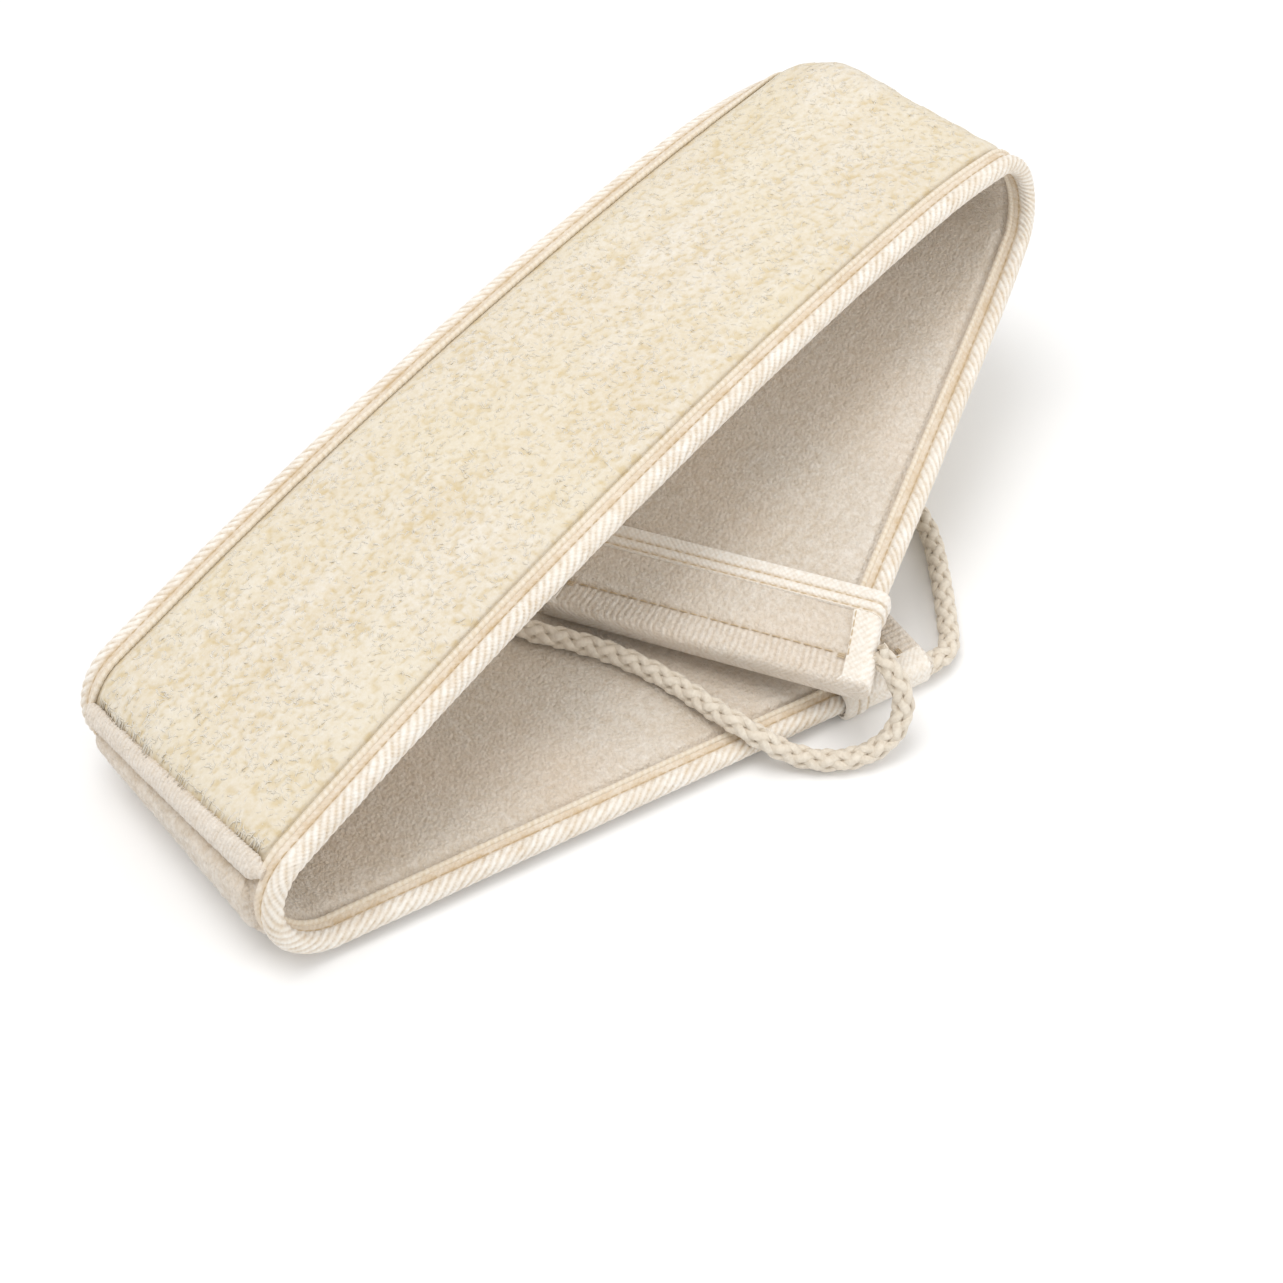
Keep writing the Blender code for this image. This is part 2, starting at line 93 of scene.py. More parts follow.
# A wider tape, thinner piping and rounder caps than in the CAD source.
BINDING_LEG = 7.7 * MM
BINDING_LEG_INNER = 1.95 * MM
PIPING_INSET = 7.85 * MM
PIPING_RADIUS = 0.9 * MM
PIPING_OUT = 2.7 * MM
CAP_CORNER = 3.2 * MM

# The facing and the loofah run in beneath the roll, which is wider than it is high.
FACING_TUCK = 3.4 * MM
LOOFAH_TUCK = 2.4 * MM
ROLL_WIDENING = 1.4
ROLL_END_INSET = 6.6 * MM

Fold = namedtuple("Fold", "start skew radius turn")

LOWER_FOLD = Fold(LYING_LENGTH, -LOWER_FOLD_SKEW, LOWER_FOLD_RADIUS, LOWER_FOLD_TURN)
MIDDLE_START = LYING_LENGTH + LOWER_FOLD_RADIUS * LOWER_FOLD_TURN / math.cos(LOWER_FOLD_SKEW)
BOW = Fold(MIDDLE_START, 0, MIDDLE_LENGTH / MIDDLE_BOW, MIDDLE_BOW)
MIDDLE_END = MIDDLE_START + MIDDLE_LENGTH
UPPER_FOLD = Fold(MIDDLE_END, UPPER_FOLD_SKEW, UPPER_FOLD_RADIUS, UPPER_FOLD_TURN)
UPPER_START = MIDDLE_END + UPPER_FOLD_RADIUS * UPPER_FOLD_TURN / math.cos(UPPER_FOLD_SKEW)
STRAP_END = UPPER_START + UPPER_LENGTH

# The dome at the upper fold: how far the cloth stands out at places across the strap, and how far
# along the strap the dome spreads from the fold's middle.
CREST_ACROSS = [-50 * MM, -36 * MM, -20 * MM, 0, 14 * MM, 26 * MM, 36 * MM, 44 * MM, 50 * MM]
CREST_RISE = [-6.5 * MM, -5.5 * MM, -2.8 * MM, 1.6 * MM, 5.4 * MM, 7.6 * MM, 5 * MM, -2 * MM, -9 * MM]
CREST_REACH = 38 * MM
CREST_POINTS = 201
CREST_WINDOW = 13

LOWER_ROPE_ROUTE = [
    (0.1087, -0.0475, 0.0054), (0.1128, -0.0467, 0.0048), (0.1168, -0.0445, 0.0043),
    (0.1199, -0.0411, 0.0040), (0.1241, -0.0346, 0.0040), (0.1305, -0.0243, 0.0040),
    (0.1367, -0.0136, 0.0040), (0.1422, -0.0032, 0.0040), (0.1460, 0.0072, 0.0040),
    (0.1470, 0.0182, 0.0040), (0.1440, 0.0290, 0.0040), (0.1370, 0.0384, 0.0041),
    (0.1274, 0.0446, 0.0045), (0.1178, 0.0472, 0.0050), (0.1087, 0.0475, 0.0054),
]
UPPER_ROPE_ROUTE = [
    (0.0808, -0.0552, 0.0266), (0.0828, -0.0600, 0.0212), (0.0824, -0.0642, 0.0146),
    (0.0780, -0.0670, 0.0089), (0.0710, -0.0677, 0.0054), (0.0626, -0.0660, 0.0040),
    (0.0544, -0.0622, 0.0042), (0.0473, -0.0570, 0.0060), (0.0406, -0.0518, 0.0107),
    (0.0356, -0.0448, 0.0138), (0.0328, -0.0360, 0.0132), (0.0300, -0.0260, 0.0129),
    (0.0263, -0.0160, 0.0129), (0.0216, -0.0062, 0.0129), (0.0154, 0.0038, 0.0129),
    (0.0084, 0.0126, 0.0129), (0.0012, 0.0206, 0.0129), (-0.0040, 0.0300, 0.0131),
    (-0.0026, 0.0404, 0.0142), (0.0046, 0.0476, 0.0148), (0.0144, 0.0484, 0.0163),
    (0.0241, 0.0422, 0.0186),
]

# ---- folding, for arrays of points (along, across, out) ----


def turned(places, flat, fold):
    """Places carried round one fold, each as far as its point of the flat strap goes round it."""
    cos_skew, sin_skew = math.cos(fold.skew), math.sin(fold.skew)
    past = (flat[:, 0] - fold.start) * cos_skew + flat[:, 1] * sin_skew
    angle = np.clip(past / fold.radius, 0, fold.turn)
    ahead = (places[:, 0] - fold.start) * cos_skew + places[:, 1] * sin_skew - fold.radius * angle
    aside = (fold.start - places[:, 0]) * sin_skew + places[:, 1] * cos_skew
    out = places[:, 2]
    cos_turn, sin_turn = np.cos(angle), np.sin(angle)
    bent = ahead * cos_turn + (out + fold.radius) * sin_turn
    raised = (out + fold.radius) * cos_turn - ahead * sin_turn - fold.radius
    return np.column_stack((
        fold.start + bent * cos_skew - aside * sin_skew,
        bent * sin_skew + aside * cos_skew,
        raised,
    ))


def crest_rise(flat):
    """How far the slack cloth stands out round the upper fold: domed, with both edges drooping."""
    along, across = flat[:, 0], flat[:, 1]
    middle = (MIDDLE_END + UPPER_START) / 2 - across * math.tan(UPPER_FOLD.skew)
    fine = np.linspace(-HALF, HALF, CREST_POINTS)
    profile = np.interp(fine, CREST_ACROSS, CREST_RISE)
    window = np.full(CREST_WINDOW, 1 / CREST_WINDOW)
    smooth = np.convolve(np.pad(profile, CREST_WINDOW // 2, mode="edge"), window, mode="valid")
    return bell(along, middle, CREST_REACH) * np.interp(across, fine, smooth)


def folded(flat):
    """Where points of the flat strap lie in the world once the strap is folded."""
    places = flat + crest_rise(flat)[:, None] * np.array((0, 0, 1.0))
    for fold in (UPPER_FOLD, BOW, LOWER_FOLD):
        places = turned(places, flat, fold)
    return np.column_stack((LYING_LENGTH / 2 - places[:, 0], places[:, 1], UNDERSIDE_OUT - places[:, 2]))


# ---- relief: smooth random heights that run on from one piece to the next ----

LATTICE = 256
ONE_TURN = 6.28  # radians, rounded; it spaces surface patterns only


def noise(x, y, size, seed):
    """Smooth random values between -1 and 1 with bumps of the given size; size may be a pair."""
    size_x, size_y = size if isinstance(size, tuple) else (size, size)
    lattice = np.random.default_rng(seed).uniform(-1, 1, (LATTICE, LATTICE))
    u, v = x / size_x, y / size_y
    i, j = np.floor(u).astype(int), np.floor(v).astype(int)
    u, v = u - i, v - j
    u, v = u * u * (3 - 2 * u), v * v * (3 - 2 * v)
    i, j, i_next, j_next = i % LATTICE, j % LATTICE, (i + 1) % LATTICE, (j + 1) % LATTICE
    near = lattice[i, j] * (1 - u) + lattice[i_next, j] * u
    far = lattice[i, j_next] * (1 - u) + lattice[i_next, j_next] * u
    return near * (1 - v) + far * v


def step_up(value, low, high):
    """0 below low, 1 above high and smooth between."""
    share = np.clip((value - low) / (high - low), 0, 1)
    return share * share * (3 - 2 * share)


def bell(value, middle, width):
    return np.exp(-((value - middle) / width) ** 2)


# ---- materials ----

MOTTLE_SPREAD = 0.9
PATCH_SIZE = 45 * MM
PATCH_CONTRAST = 2.0
PATCH_OFFSET = -0.8
PATCH_SHARE = 0.45
FUZZ_SIZE = 0.35 * MM
FUZZ_SHARE = 0.6


def linear(red, green, blue):
    """A colour given as it looks on a screen, 0 to 255, as the shader's linear values."""
    values = [channel / 255 for channel in (red, green, blue)]
    return [((v + 0.055) / 1.055) ** 2.4 if v > 0.04045 else v / 12.92 for v in values] + [1]


def fabric(name, light, deep, grain, weave, bump, roughness=0.95, sheen=0.25, patch_colour=None):
    """Cloth whose colour runs from deep to light with the mesh's shade value, mostly painted shade, and with
    its grain and its weave.

    grain is the size of the colour's mottling, and weave is (kind, size) of the surface's bumps.
    A second colour is mixed in over broad random patches; on the terry that colour is painted glow.
    """
    made = bpy.data.materials.new(name)
    made.use_nodes = True
    tree = made.node_tree
    nodes, links = tree.nodes, tree.links
    shader = nodes["Principled BSDF"]
    shader.inputs["Roughness"].default_value = roughness
    shader.inputs["Sheen Weight"].default_value = sheen
    shader.inputs["Sheen Roughness"].default_value = 0.6
    shader.inputs["Specular IOR Level"].default_value = 0.15

    def mesh_value(attribute):
        made_node = nodes.new("ShaderNodeAttribute")
        made_node.attribute_name = attribute
        return made_node

    flat, shade = mesh_value("flat"), mesh_value("shade")

    def texture(kind, size, **inputs):
        made_texture = nodes.new(kind)
        made_texture.inputs["Scale"].default_value = 1 / size
        for socket, value in inputs.items():
            made_texture.inputs[socket.replace("_", " ")].default_value = value
        links.new(flat.outputs["Vector"], made_texture.inputs["Vector"])
        return made_texture

    def maths(operation, *values, clamp=False):
        made_node = nodes.new("ShaderNodeMath")
        made_node.operation = operation
        made_node.use_clamp = clamp
        for socket, value in zip(made_node.inputs, values):
            if isinstance(value, (int, float)):
                socket.default_value = value
            else:
                links.new(value, socket)
        return made_node.outputs[0]

    mottling = texture("ShaderNodeTexNoise", grain, Detail=4, Roughness=0.65)
    patches = texture("ShaderNodeTexNoise", PATCH_SIZE, Detail=2)
    mottle = maths("MULTIPLY_ADD", mottling.outputs["Fac"], MOTTLE_SPREAD, -MOTTLE_SPREAD / 2)
    lightness = maths("ADD", shade.outputs["Fac"], mottle, clamp=True)
    colour = nodes.new("ShaderNodeMix")
    colour.data_type = "RGBA"
    colour.inputs[6].default_value = linear(*deep)
    colour.inputs[7].default_value = linear(*light)
    links.new(lightness, colour.inputs[0])
    # Broad random patches of a second colour: random tone on most cloths, painted glow on the terry.
    patched = nodes.new("ShaderNodeMix")
    patched.data_type = "RGBA"
    patched.inputs[7].default_value = linear(*(patch_colour or light))
    links.new(colour.outputs[2], patched.inputs[6])
    patch = maths("MULTIPLY_ADD", patches.outputs["Fac"], PATCH_CONTRAST, PATCH_OFFSET, clamp=True)
    links.new(maths("MULTIPLY", patch, PATCH_SHARE), patched.inputs[0])
    links.new(patched.outputs[2], shader.inputs["Base Color"])

    kind, size = weave
    if kind == "loops":
        cells = texture("ShaderNodeTexVoronoi", size)
        height = maths("SUBTRACT", 1.0, cells.outputs["Distance"])
    elif kind == "twill":
        bands = texture("ShaderNodeTexWave", 3.2 * size, Distortion=1.5, Detail=2)
        bands.bands_direction = "DIAGONAL"
        height = bands.outputs["Fac"]
    else:
        height = texture("ShaderNodeTexNoise", size, Detail=5, Roughness=0.7).outputs["Fac"]
    fuzz = texture("ShaderNodeTexNoise", FUZZ_SIZE, Detail=3)
    relief = nodes.new("ShaderNodeBump")
    relief.inputs["Strength"].default_value = 1.0
    relief.inputs["Distance"].default_value = bump
    fuzzy = maths("ADD", height, maths("MULTIPLY", fuzz.outputs["Fac"], FUZZ_SHARE))
    links.new(fuzzy, relief.inputs["Height"])
    links.new(relief.outputs["Normal"], shader.inputs["Normal"])
    return made


# The terry's peach patch colour is painted glow: warm patches standing in for light shining through the
# loofah onto it.
TERRY = fabric(
    "terry_pile", (234, 227, 217), (195, 176, 150), 1.1 * MM, ("loops", 1.15 * MM), 0.5 * MM,
    sheen=0.3, patch_colour=(238, 216, 192),
)
LOOFAH = fabric(
    "loofah_fibre", (228, 222, 211), (202, 179, 130), 1.6 * MM, ("fibres", 0.8 * MM), 0.12 * MM,
    roughness=0.85, sheen=0.1, patch_colour=(224, 213, 184),
)
TWILL = fabric(
    "twill_weave", (243, 239, 232), (194, 164, 118), 1.6 * MM, ("twill", 0.9 * MM), 0.10 * MM,
    patch_colour=(238, 227, 210),
)
PIPING = fabric(
    "piping_cover", (238, 230, 216), (200, 174, 132), 1.2 * MM, ("fibres", 0.6 * MM), 0.12 * MM,
)
WADDING = fabric(
    "wadding_fleece", (238, 233, 222), (205, 195, 175), 3 * MM, ("fibres", 1.5 * MM), 0.3 * MM,
)
ROPE = fabric(
    "braided_cotton", (230, 221, 206), (166, 146, 118), 1.1 * MM, ("fibres", 0.5 * MM), 0.22 * MM,
    patch_colour=(228, 213, 192),
)
THREAD = fabric(
    "sewing_thread", (222, 206, 178), (184, 156, 116), 0.8 * MM, ("fibres", 0.3 * MM), 0.05 * MM,
    sheen=0.1,
)

# ---- meshes ----


def build(name, places, faces, flat, shade, surface, sharp=55):
    """A smooth object from points and faces, with the values that its material reads."""
    data = bpy.data.meshes.new(name)
    data.from_pydata(places.tolist(), [], faces)
    data.update()
    data.shade_smooth()
    if sharp:
        data.set_sharp_from_angle(angle=math.radians(sharp))
    attribute = data.attributes.new("flat", "FLOAT_VECTOR", "POINT")
    attribute.data.foreach_set("vector", flat.astype(np.float32).ravel())
    attribute = data.attributes.new("shade", "FLOAT", "POINT")
    attribute.data.foreach_set("value", np.clip(shade, 0, 1).astype(np.float32))
    data.materials.append(surface)
    made = bpy.data.objects.new(name, data)
    bpy.context.scene.collection.objects.link(made)
    return made


def closed(points):
    """An outline as arrays of across, out, outward normals and the distance along it."""
    points = np.array(points, float)
    ahead, behind = np.roll(points, -1, 0), np.roll(points, 1, 0)
    tangent = ahead - behind
    tangent /= np.maximum(np.linalg.norm(tangent, axis=1, keepdims=True), 1e-12)
    normal = np.column_stack((tangent[:, 1], -tangent[:, 0]))
    area = np.sum(points[:, 0] * ahead[:, 1] - ahead[:, 0] * points[:, 1])
    reach = np.r_[0, np.cumsum(np.linalg.norm(ahead - points, axis=1))][:-1]
    return points, normal * (1 if area > 0 else -1), reach


def finely(points, spacing, loop=True):
    """More points along straight runs, so that none is longer than the spacing."""
    fine = []
    ends = points[1:] + ([points[0]] if loop else [])
    for near, far in zip(points, ends):
        count = max(1, math.ceil(math.dist(near, far) / spacing))
        fine += [
            (near[0] + (far[0] - near[0]) * k / count, near[1] + (far[1] - near[1]) * k / count)
            for k in range(count)
        ]
    return fine if loop else fine + [points[-1]]


def ring_faces(rings, corners, cyclic=False, capped=True):
    """Quads between rings that follow each other, and the two end faces."""
    ring = np.arange(rings if cyclic else rings - 1)[:, None] * corners
    corner = np.arange(corners)[None, :]
    following = (corner + 1) % corners
    beyond = (ring + corners) % (rings * corners)
    quads = np.stack([ring + corner, ring + following, beyond + following, beyond + corner], -1)
    faces = quads.reshape(-1, 4).tolist()
    if capped and not cyclic:
        last = (rings - 1) * corners
        faces.append(list(range(corners))[::-1])
        faces.append(list(range(last, last + corners)))
    return faces


def outward(places, faces):
    """The faces of a closed mesh, turned round if they point inwards."""
    quads = np.array([face for face in faces if len(face) == 4])
    middle = places.mean(0)
    a, b, c, d = (places[quads[:, k]] - middle for k in range(4))
    volume = np.einsum("ij,ij->i", a, np.cross(b, c)).sum() + np.einsum("ij,ij->i", a, np.cross(c, d)).sum()
    return [face[::-1] for face in faces] if volume < 0 else faces


def skin(name, flat, shade, surface, cyclic=False):
    """A closed skin over rings of points of the flat strap, folded; flat is (rings, corners, 3)."""
    rings, corners, _ = flat.shape
    flat = flat.reshape(-1, 3)
    places = folded(flat)
    faces = outward(places, ring_faces(rings, corners, cyclic=cyclic))
    return build(name, places, faces, flat, shade.ravel(), surface)


Line = namedtuple("Line", "along slant")


def loft(name, outline, first, last, spacing, relief, surface):
    """An outline carried along the flat strap from one cross line to another, then folded.

    relief(along, across, out, reach) gives how far each point stands out and its shade.
    """
    points, normals, reach = closed(outline)
    rings = max(2, math.ceil((last.along - first.along) / spacing)) + 1
    shares = np.linspace(0, 1, rings)[:, None]
    slants = math.tan(first.slant) + (math.tan(last.slant) - math.tan(first.slant)) * shares
    across = np.tile(points[:, 0], (rings, 1))
    out = np.tile(points[:, 1], (rings, 1))
    along = first.along + (last.along - first.along) * shares - across * slants
    stands, shade = relief(along, across, out, reach[None, :] + 0 * along)
    flat = np.stack((along, across + stands * normals[:, 0], out + stands * normals[:, 1]), -1)
    return skin(name, flat, shade, surface)


TUBE_TIP = 0.45


def tubes(lines, radii, sides):
    """Closed thin tubes along many short lines, as points and faces; lines is (tubes, points, 3)."""
    count, length, _ = lines.shape
    tangent = np.gradient(lines, axis=1)
    tangent /= np.maximum(np.linalg.norm(tangent, axis=2, keepdims=True), 1e-12)
    side = np.cross(tangent, (0, 0, 1.0))
    side /= np.maximum(np.linalg.norm(side, axis=2, keepdims=True), 1e-12)
    upward = np.cross(side, tangent)
    turns = 2 * np.pi * (np.arange(sides) + 0.25) / sides
    taper = np.where((np.arange(length) % (length - 1)) == 0, TUBE_TIP, 1.0)
    thick = (radii[:, None] * taper[None, :])[:, :, None, None]
    offsets = np.cos(turns)[:, None] * side[:, :, None, :] + np.sin(turns)[:, None] * upward[:, :, None, :]
    places = (lines[:, :, None, :] + thick * offsets).reshape(-1, 3)
    one = ring_faces(length, sides)
    shift = (np.arange(count) * length * sides)[:, None, None]
    quads = (np.array(one[:-2])[None] + shift).reshape(-1, 4)
    ends = (np.array(one[-2:])[None] + shift).reshape(-1, sides)
    return places, quads.tolist() + ends.tolist()


# ---- the strap's four lengths, which meet in the middle of each fold and of the middle panel ----


def half_way(fold):
    return Line(fold.start + fold.radius * fold.turn / 2 / math.cos(fold.skew), fold.skew)


LOWER_MOUTH = Line(CAP_ALLOWANCE, 0)
LOWER_BEND = half_way(LOWER_FOLD)
STRAP_MIDDLE = Line((MIDDLE_START + MIDDLE_END) / 2, 0)
UPPER_BEND = half_way(UPPER_FOLD)
UPPER_MOUTH = Line(STRAP_END - CAP_ALLOWANCE, 0)
LOOFAH_START = Line(MIDDLE_START - LOOFAH_SETBACK - LOOFAH_TUCK, LOOFAH_END_SLANT)
FACING_END = Line(MIDDLE_START - FACING_SETBACK + FACING_TUCK, LOOFAH_END_SLANT)
CAP_OVERLAP = 3 * MM
LOWER_CAP_IN = Line(CAP_DEPTH - CAP_OVERLAP, 0)
UPPER_CAP_IN = Line(STRAP_END - CAP_DEPTH + CAP_OVERLAP, 0)

Length = namedtuple("Length", "name first last body next_body fold far_half")

LENGTHS = [
    Length("lying", LOWER_MOUTH, LOWER_BEND, "lower_end", "lower_bend", LOWER_FOLD, False),
    Length("rising", LOWER_BEND, STRAP_MIDDLE, "lower_bend", "middle", LOWER_FOLD, True),
    Length("top", STRAP_MIDDLE, UPPER_BEND, "middle", "upper_bend", UPPER_FOLD, False),
    Length("hanging", UPPER_BEND, UPPER_MOUTH, "upper_bend", "upper_end", UPPER_FOLD, True),
]
STRETCHES = ["lower_panel", "lower_fold", "middle_panel", "upper_fold", "upper_panel"]


def bend_with(piece):
    """Bakes the piece's placement into its mesh; the piece was already folded with the strap when it was
    made.
    """
    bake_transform(piece)


def fit(piece, length, ending):
    """The piece's placement is baked in, and it replaces the CAD solids of its kind that it covers."""
    bend_with(piece)
    near = LENGTHS.index(length)
    nodes = [f"{stretch}_{ending}" for stretch in STRETCHES[near:near + 2]]
    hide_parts(*[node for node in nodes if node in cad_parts])


# ---- layers ----


def both_sides(half_outline):
    mirrored = [(-across, out) for across, out in reversed(half_outline) if across > 0]
    return mirrored + half_outline


HIDDEN_COARSER = 8


def layer(upper, lower, fine_top, spacing):
    """A layer's outline; the face that shows has points at the spacing, the hidden one few."""
    tops, bottoms = both_sides(upper), both_sides(lower)[::-1]
    over, under = (1, HIDDEN_COARSER) if fine_top else (HIDDEN_COARSER, 1)
    return finely(tops, over * spacing, loop=False) + finely(bottoms, under * spacing, loop=False)


def flipped(half_outline):
    return [(across, -out) for across, out in half_outline]


TERRY_SPACING = 1.0 * MM
TERRY_LOOP = 1.15 * MM
TERRY_ROW = 1.9 * MM
FACING_LOOP = 1.2 * MM
FACING_SLOPE = 8 * MM
FACING_DROP = 2.8 * MM
WADDING_SPACING = 3 * MM
OVER_WADDING = [
    (0, 1.6 * MM), (FIELD_EDGE - 1.5 * MM, 1.6 * MM), (FIELD_EDGE + 0.5 * MM, 0.8 * MM),
    (MARGIN_EDGE, 0.8 * MM),
]


def terry_relief(along, across, out, reach):
    shows = step_up(-out, 1.85 * MM, 2.2 * MM)
    loops = noise(along, across, TERRY_LOOP, 3)
    swell = noise(along, across, (26 * MM, 18 * MM), 4)
    wale = np.sin(2 * np.pi * across / TERRY_ROW) * 0.3
    stands = shows * (0.16 * MM * (loops + wale) + 0.28 * MM * swell)
    # Painted shade: the pile is coloured darker where its loops and swells sink and lighter where they stand.
    return stands, 0.60 + 0.22 * loops + 0.10 * swell


def facing_relief(along, across, out, reach):
    shows = step_up(out, 1.95 * MM, 2.3 * MM)
    loops = noise(along, across, FACING_LOOP, 5)
    rows = np.sin(2 * np.pi * along / TERRY_ROW) * 0.25
    past = along - (FACING_END.along - across * math.tan(FACING_END.slant))
    slope = step_up(past, -FACING_SLOPE, -FACING_TUCK / 2)
    stands = shows * (0.26 * MM * (loops + rows - 0.7) - FACING_DROP * slope)
    # Painted shade: darker in the pile's hollows, and a painted shadow where the facing slopes down into the
    # groove beside the roll.
    return stands, 0.58 + 0.30 * loops - 0.45 * slope


def wadding_relief(along, across, out, reach):
    lumps = noise(along, across, 4 * MM, 6)
    # Painted shade: lighter on the lumps and darker between them.
    return 0.12 * MM * lumps, 0.6 + 0.3 * lumps


def terry_backing(length):
    outline = layer(
        flipped(OVER_WADDING),
        [(0, -3.6 * MM), (FIELD_EDGE - 3 * MM, -3.6 * MM), (FIELD_EDGE - 1.4 * MM, -3.2 * MM),
         (FIELD_EDGE - 0.4 * MM, -2.4 * MM), (FIELD_EDGE + 0.2 * MM, -1.9 * MM), (MARGIN_EDGE, -1.9 * MM)],
        False, TERRY_SPACING,
    )
    piece = loft(
        f"{length.name}_terry_backing", outline, length.first, length.last, TERRY_SPACING,
        terry_relief, TERRY,
    )
    fit(piece, length, "terry_backing")


def wadding(length):
    upper = [(0, 1.3 * MM), (FIELD_EDGE - 2 * MM, 1.3 * MM), (FIELD_EDGE - 0.5 * MM, 0.5 * MM)]
    piece = loft(
        f"{length.name}_wadding", layer(upper, flipped(upper), True, WADDING_SPACING), length.first,
        length.last, WADDING_SPACING, wadding_relief, WADDING,
    )
    fit(piece, length, "padding")


def terry_facing(length, first, last):
    outline = layer(
        [(0, UNDERSIDE_OUT), (FIELD_EDGE - 3 * MM, UNDERSIDE_OUT), (FIELD_EDGE - 1.2 * MM, 4.7 * MM),
         (FIELD_EDGE - 0.3 * MM, 3.2 * MM), (FIELD_EDGE + 0.1 * MM, 1.9 * MM), (MARGIN_EDGE, 1.9 * MM)],
        OVER_WADDING, True, TERRY_SPACING,
    )
    piece = loft(
        f"{length.name}_terry_facing", outline, first, last, TERRY_SPACING, facing_relief, TERRY,
    )
    fit(piece, length, "terry_facing")


# ---- the loofah: a pitted mat with thousands of curled fibres over it ----

LOOFAH_SPACING = 0.9 * MM
LOOFAH_START_SLOPE = 4.5 * MM
LOOFAH_START_DROP = 1.9 * MM
FIBRES_PER_AREA = 0.32e6
FIBRE_POINTS = 5
FIBRE_SIDES = 3
FIBRE_SINK = 0.16 * MM
FIBRE_MARGIN = 0.2 * MM


def loofah_height(along, across):
    """The mat's relief above its crown, and its lightness from 0 to 1: painted shade, darker in the pits and
    along the valleys between the ridges.
    """
    ridges = noise(along, across, (60 * MM, 6 * MM), 11)
    lumps = noise(along, across, (11 * MM, 5 * MM), 12)
    pits = noise(along, across, (1.6 * MM, 1.2 * MM), 13)
    deep = step_up(-pits, 0.15, 0.7)
    height = 0.40 * MM * ridges + 0.12 * MM * lumps - 0.4 * MM * deep
    return height - 0.35 * MM, np.clip(0.70 + 0.15 * ridges + 0.06 * lumps - 0.5 * deep, 0, 1)


CROWN = [
    (0, 5.6 * MM), (18 * MM, 5.4 * MM), (30 * MM, 4.9 * MM), (FIELD_EDGE - 3 * MM, 4.2 * MM),
    (FIELD_EDGE - 0.6 * MM, 3 * MM), (FIELD_EDGE, 1.9 * MM), (MARGIN_EDGE, 1.9 * MM),
]


def crown(across):
    spans = np.array(CROWN)
    return np.interp(np.abs(across), spans[:, 0], spans[:, 1])


def in_field(across):
    return step_up(FIELD_EDGE - np.abs(across), 0.2 * MM, 3 * MM)


def loofah_relief(along, across, out, reach):
    height, lightness = loofah_height(along, across)
    shows = step_up(out, 1.95 * MM, 2.6 * MM)
    past = along - (LOOFAH_START.along - across * math.tan(LOOFAH_START.slant))
    start = 1 - step_up(past, 0, LOOFAH_START_SLOPE)
    stands = shows * (in_field(across) * height - LOOFAH_START_DROP * start)
    # Painted shade: the mat is coloured darker than its fibres, as if shaded beneath them, and darker still
    # where it runs in under the roll.
    return stands, 0.20 + 0.72 * lightness - 0.25 * start


def fibres(first, last, seed):
    """Curled fibres on the mat, as lines on the flat strap with a radius and a shade each."""
    draw = np.random.default_rng(seed)
    count = int(FIBRES_PER_AREA * 2 * FIELD_EDGE * (last.along - first.along))
    share = draw.uniform(0, 1, count)
    across = draw.uniform(-1, 1, count) * (FIELD_EDGE - 1.2 * MM)
    slant = math.tan(first.slant) + (math.tan(last.slant) - math.tan(first.slant)) * share
    along = first.along + (last.along - first.along) * share - across * slant
    heading = draw.normal(0, 0.8, count) + np.where(draw.uniform(0, 1, count) < 0.5, 0, math.pi)
    step = draw.uniform(0.45, 0.9, count) * MM
    curl = draw.normal(0, 0.4, count)
    lines = np.zeros((count, FIBRE_POINTS, 3))
    start_margin = (LOOFAH_TUCK + 1.6 * MM) if first is LOOFAH_START else FIBRE_MARGIN
    lift = draw.uniform(0.02, 0.2, count) * MM
    for k in range(FIBRE_POINTS):
        height, _ = loofah_height(along, across)
        arch = math.sin(math.pi * k / (FIBRE_POINTS - 1))
        lines[:, k, 0] = along
        lines[:, k, 1] = across
        lines[:, k, 2] = crown(across) + in_field(across) * height + lift * arch - FIBRE_SINK
        heading += curl + draw.normal(0, 0.35, count)
        along = along + step * np.cos(heading)
        across = np.clip(across + step * np.sin(heading), -FIELD_EDGE + 0.4 * MM, FIELD_EDGE - 0.4 * MM)
        edge_low = first.along - across * math.tan(first.slant) + start_margin
        edge_high = last.along - across * math.tan(last.slant) - FIBRE_MARGIN
        along = np.clip(along, edge_low, edge_high)
    return lines, draw.uniform(0.15, 0.23, count) * MM, draw.uniform(0.8, 1.0, count)


def loofah(length, first, last, seed):
    mat = loft(
        f"{length.name}_loofah", layer(CROWN, OVER_WADDING, True, LOOFAH_SPACING), first, last,
        LOOFAH_SPACING, loofah_relief, LOOFAH,
    )
    lines, radii, shades = fibres(first, last, seed)
    flat, faces = tubes(lines, radii, FIBRE_SIDES)
    shade = np.repeat(shades, FIBRE_POINTS * FIBRE_SIDES)
    hairs = build("fibres", folded(flat), faces, flat, shade, LOOFAH, sharp=None)
    join(mat, hairs)
    fit(mat, length, "loofah")


def join(kept, added):
    """Adds a second mesh to the first, with the values that the material reads."""
    with bpy.context.temp_override(
        active_object=kept, selected_editable_objects=[kept, added], selected_objects=[kept, added]
    ):
        bpy.ops.object.join()


# ---- edges: binding tape and piping ----

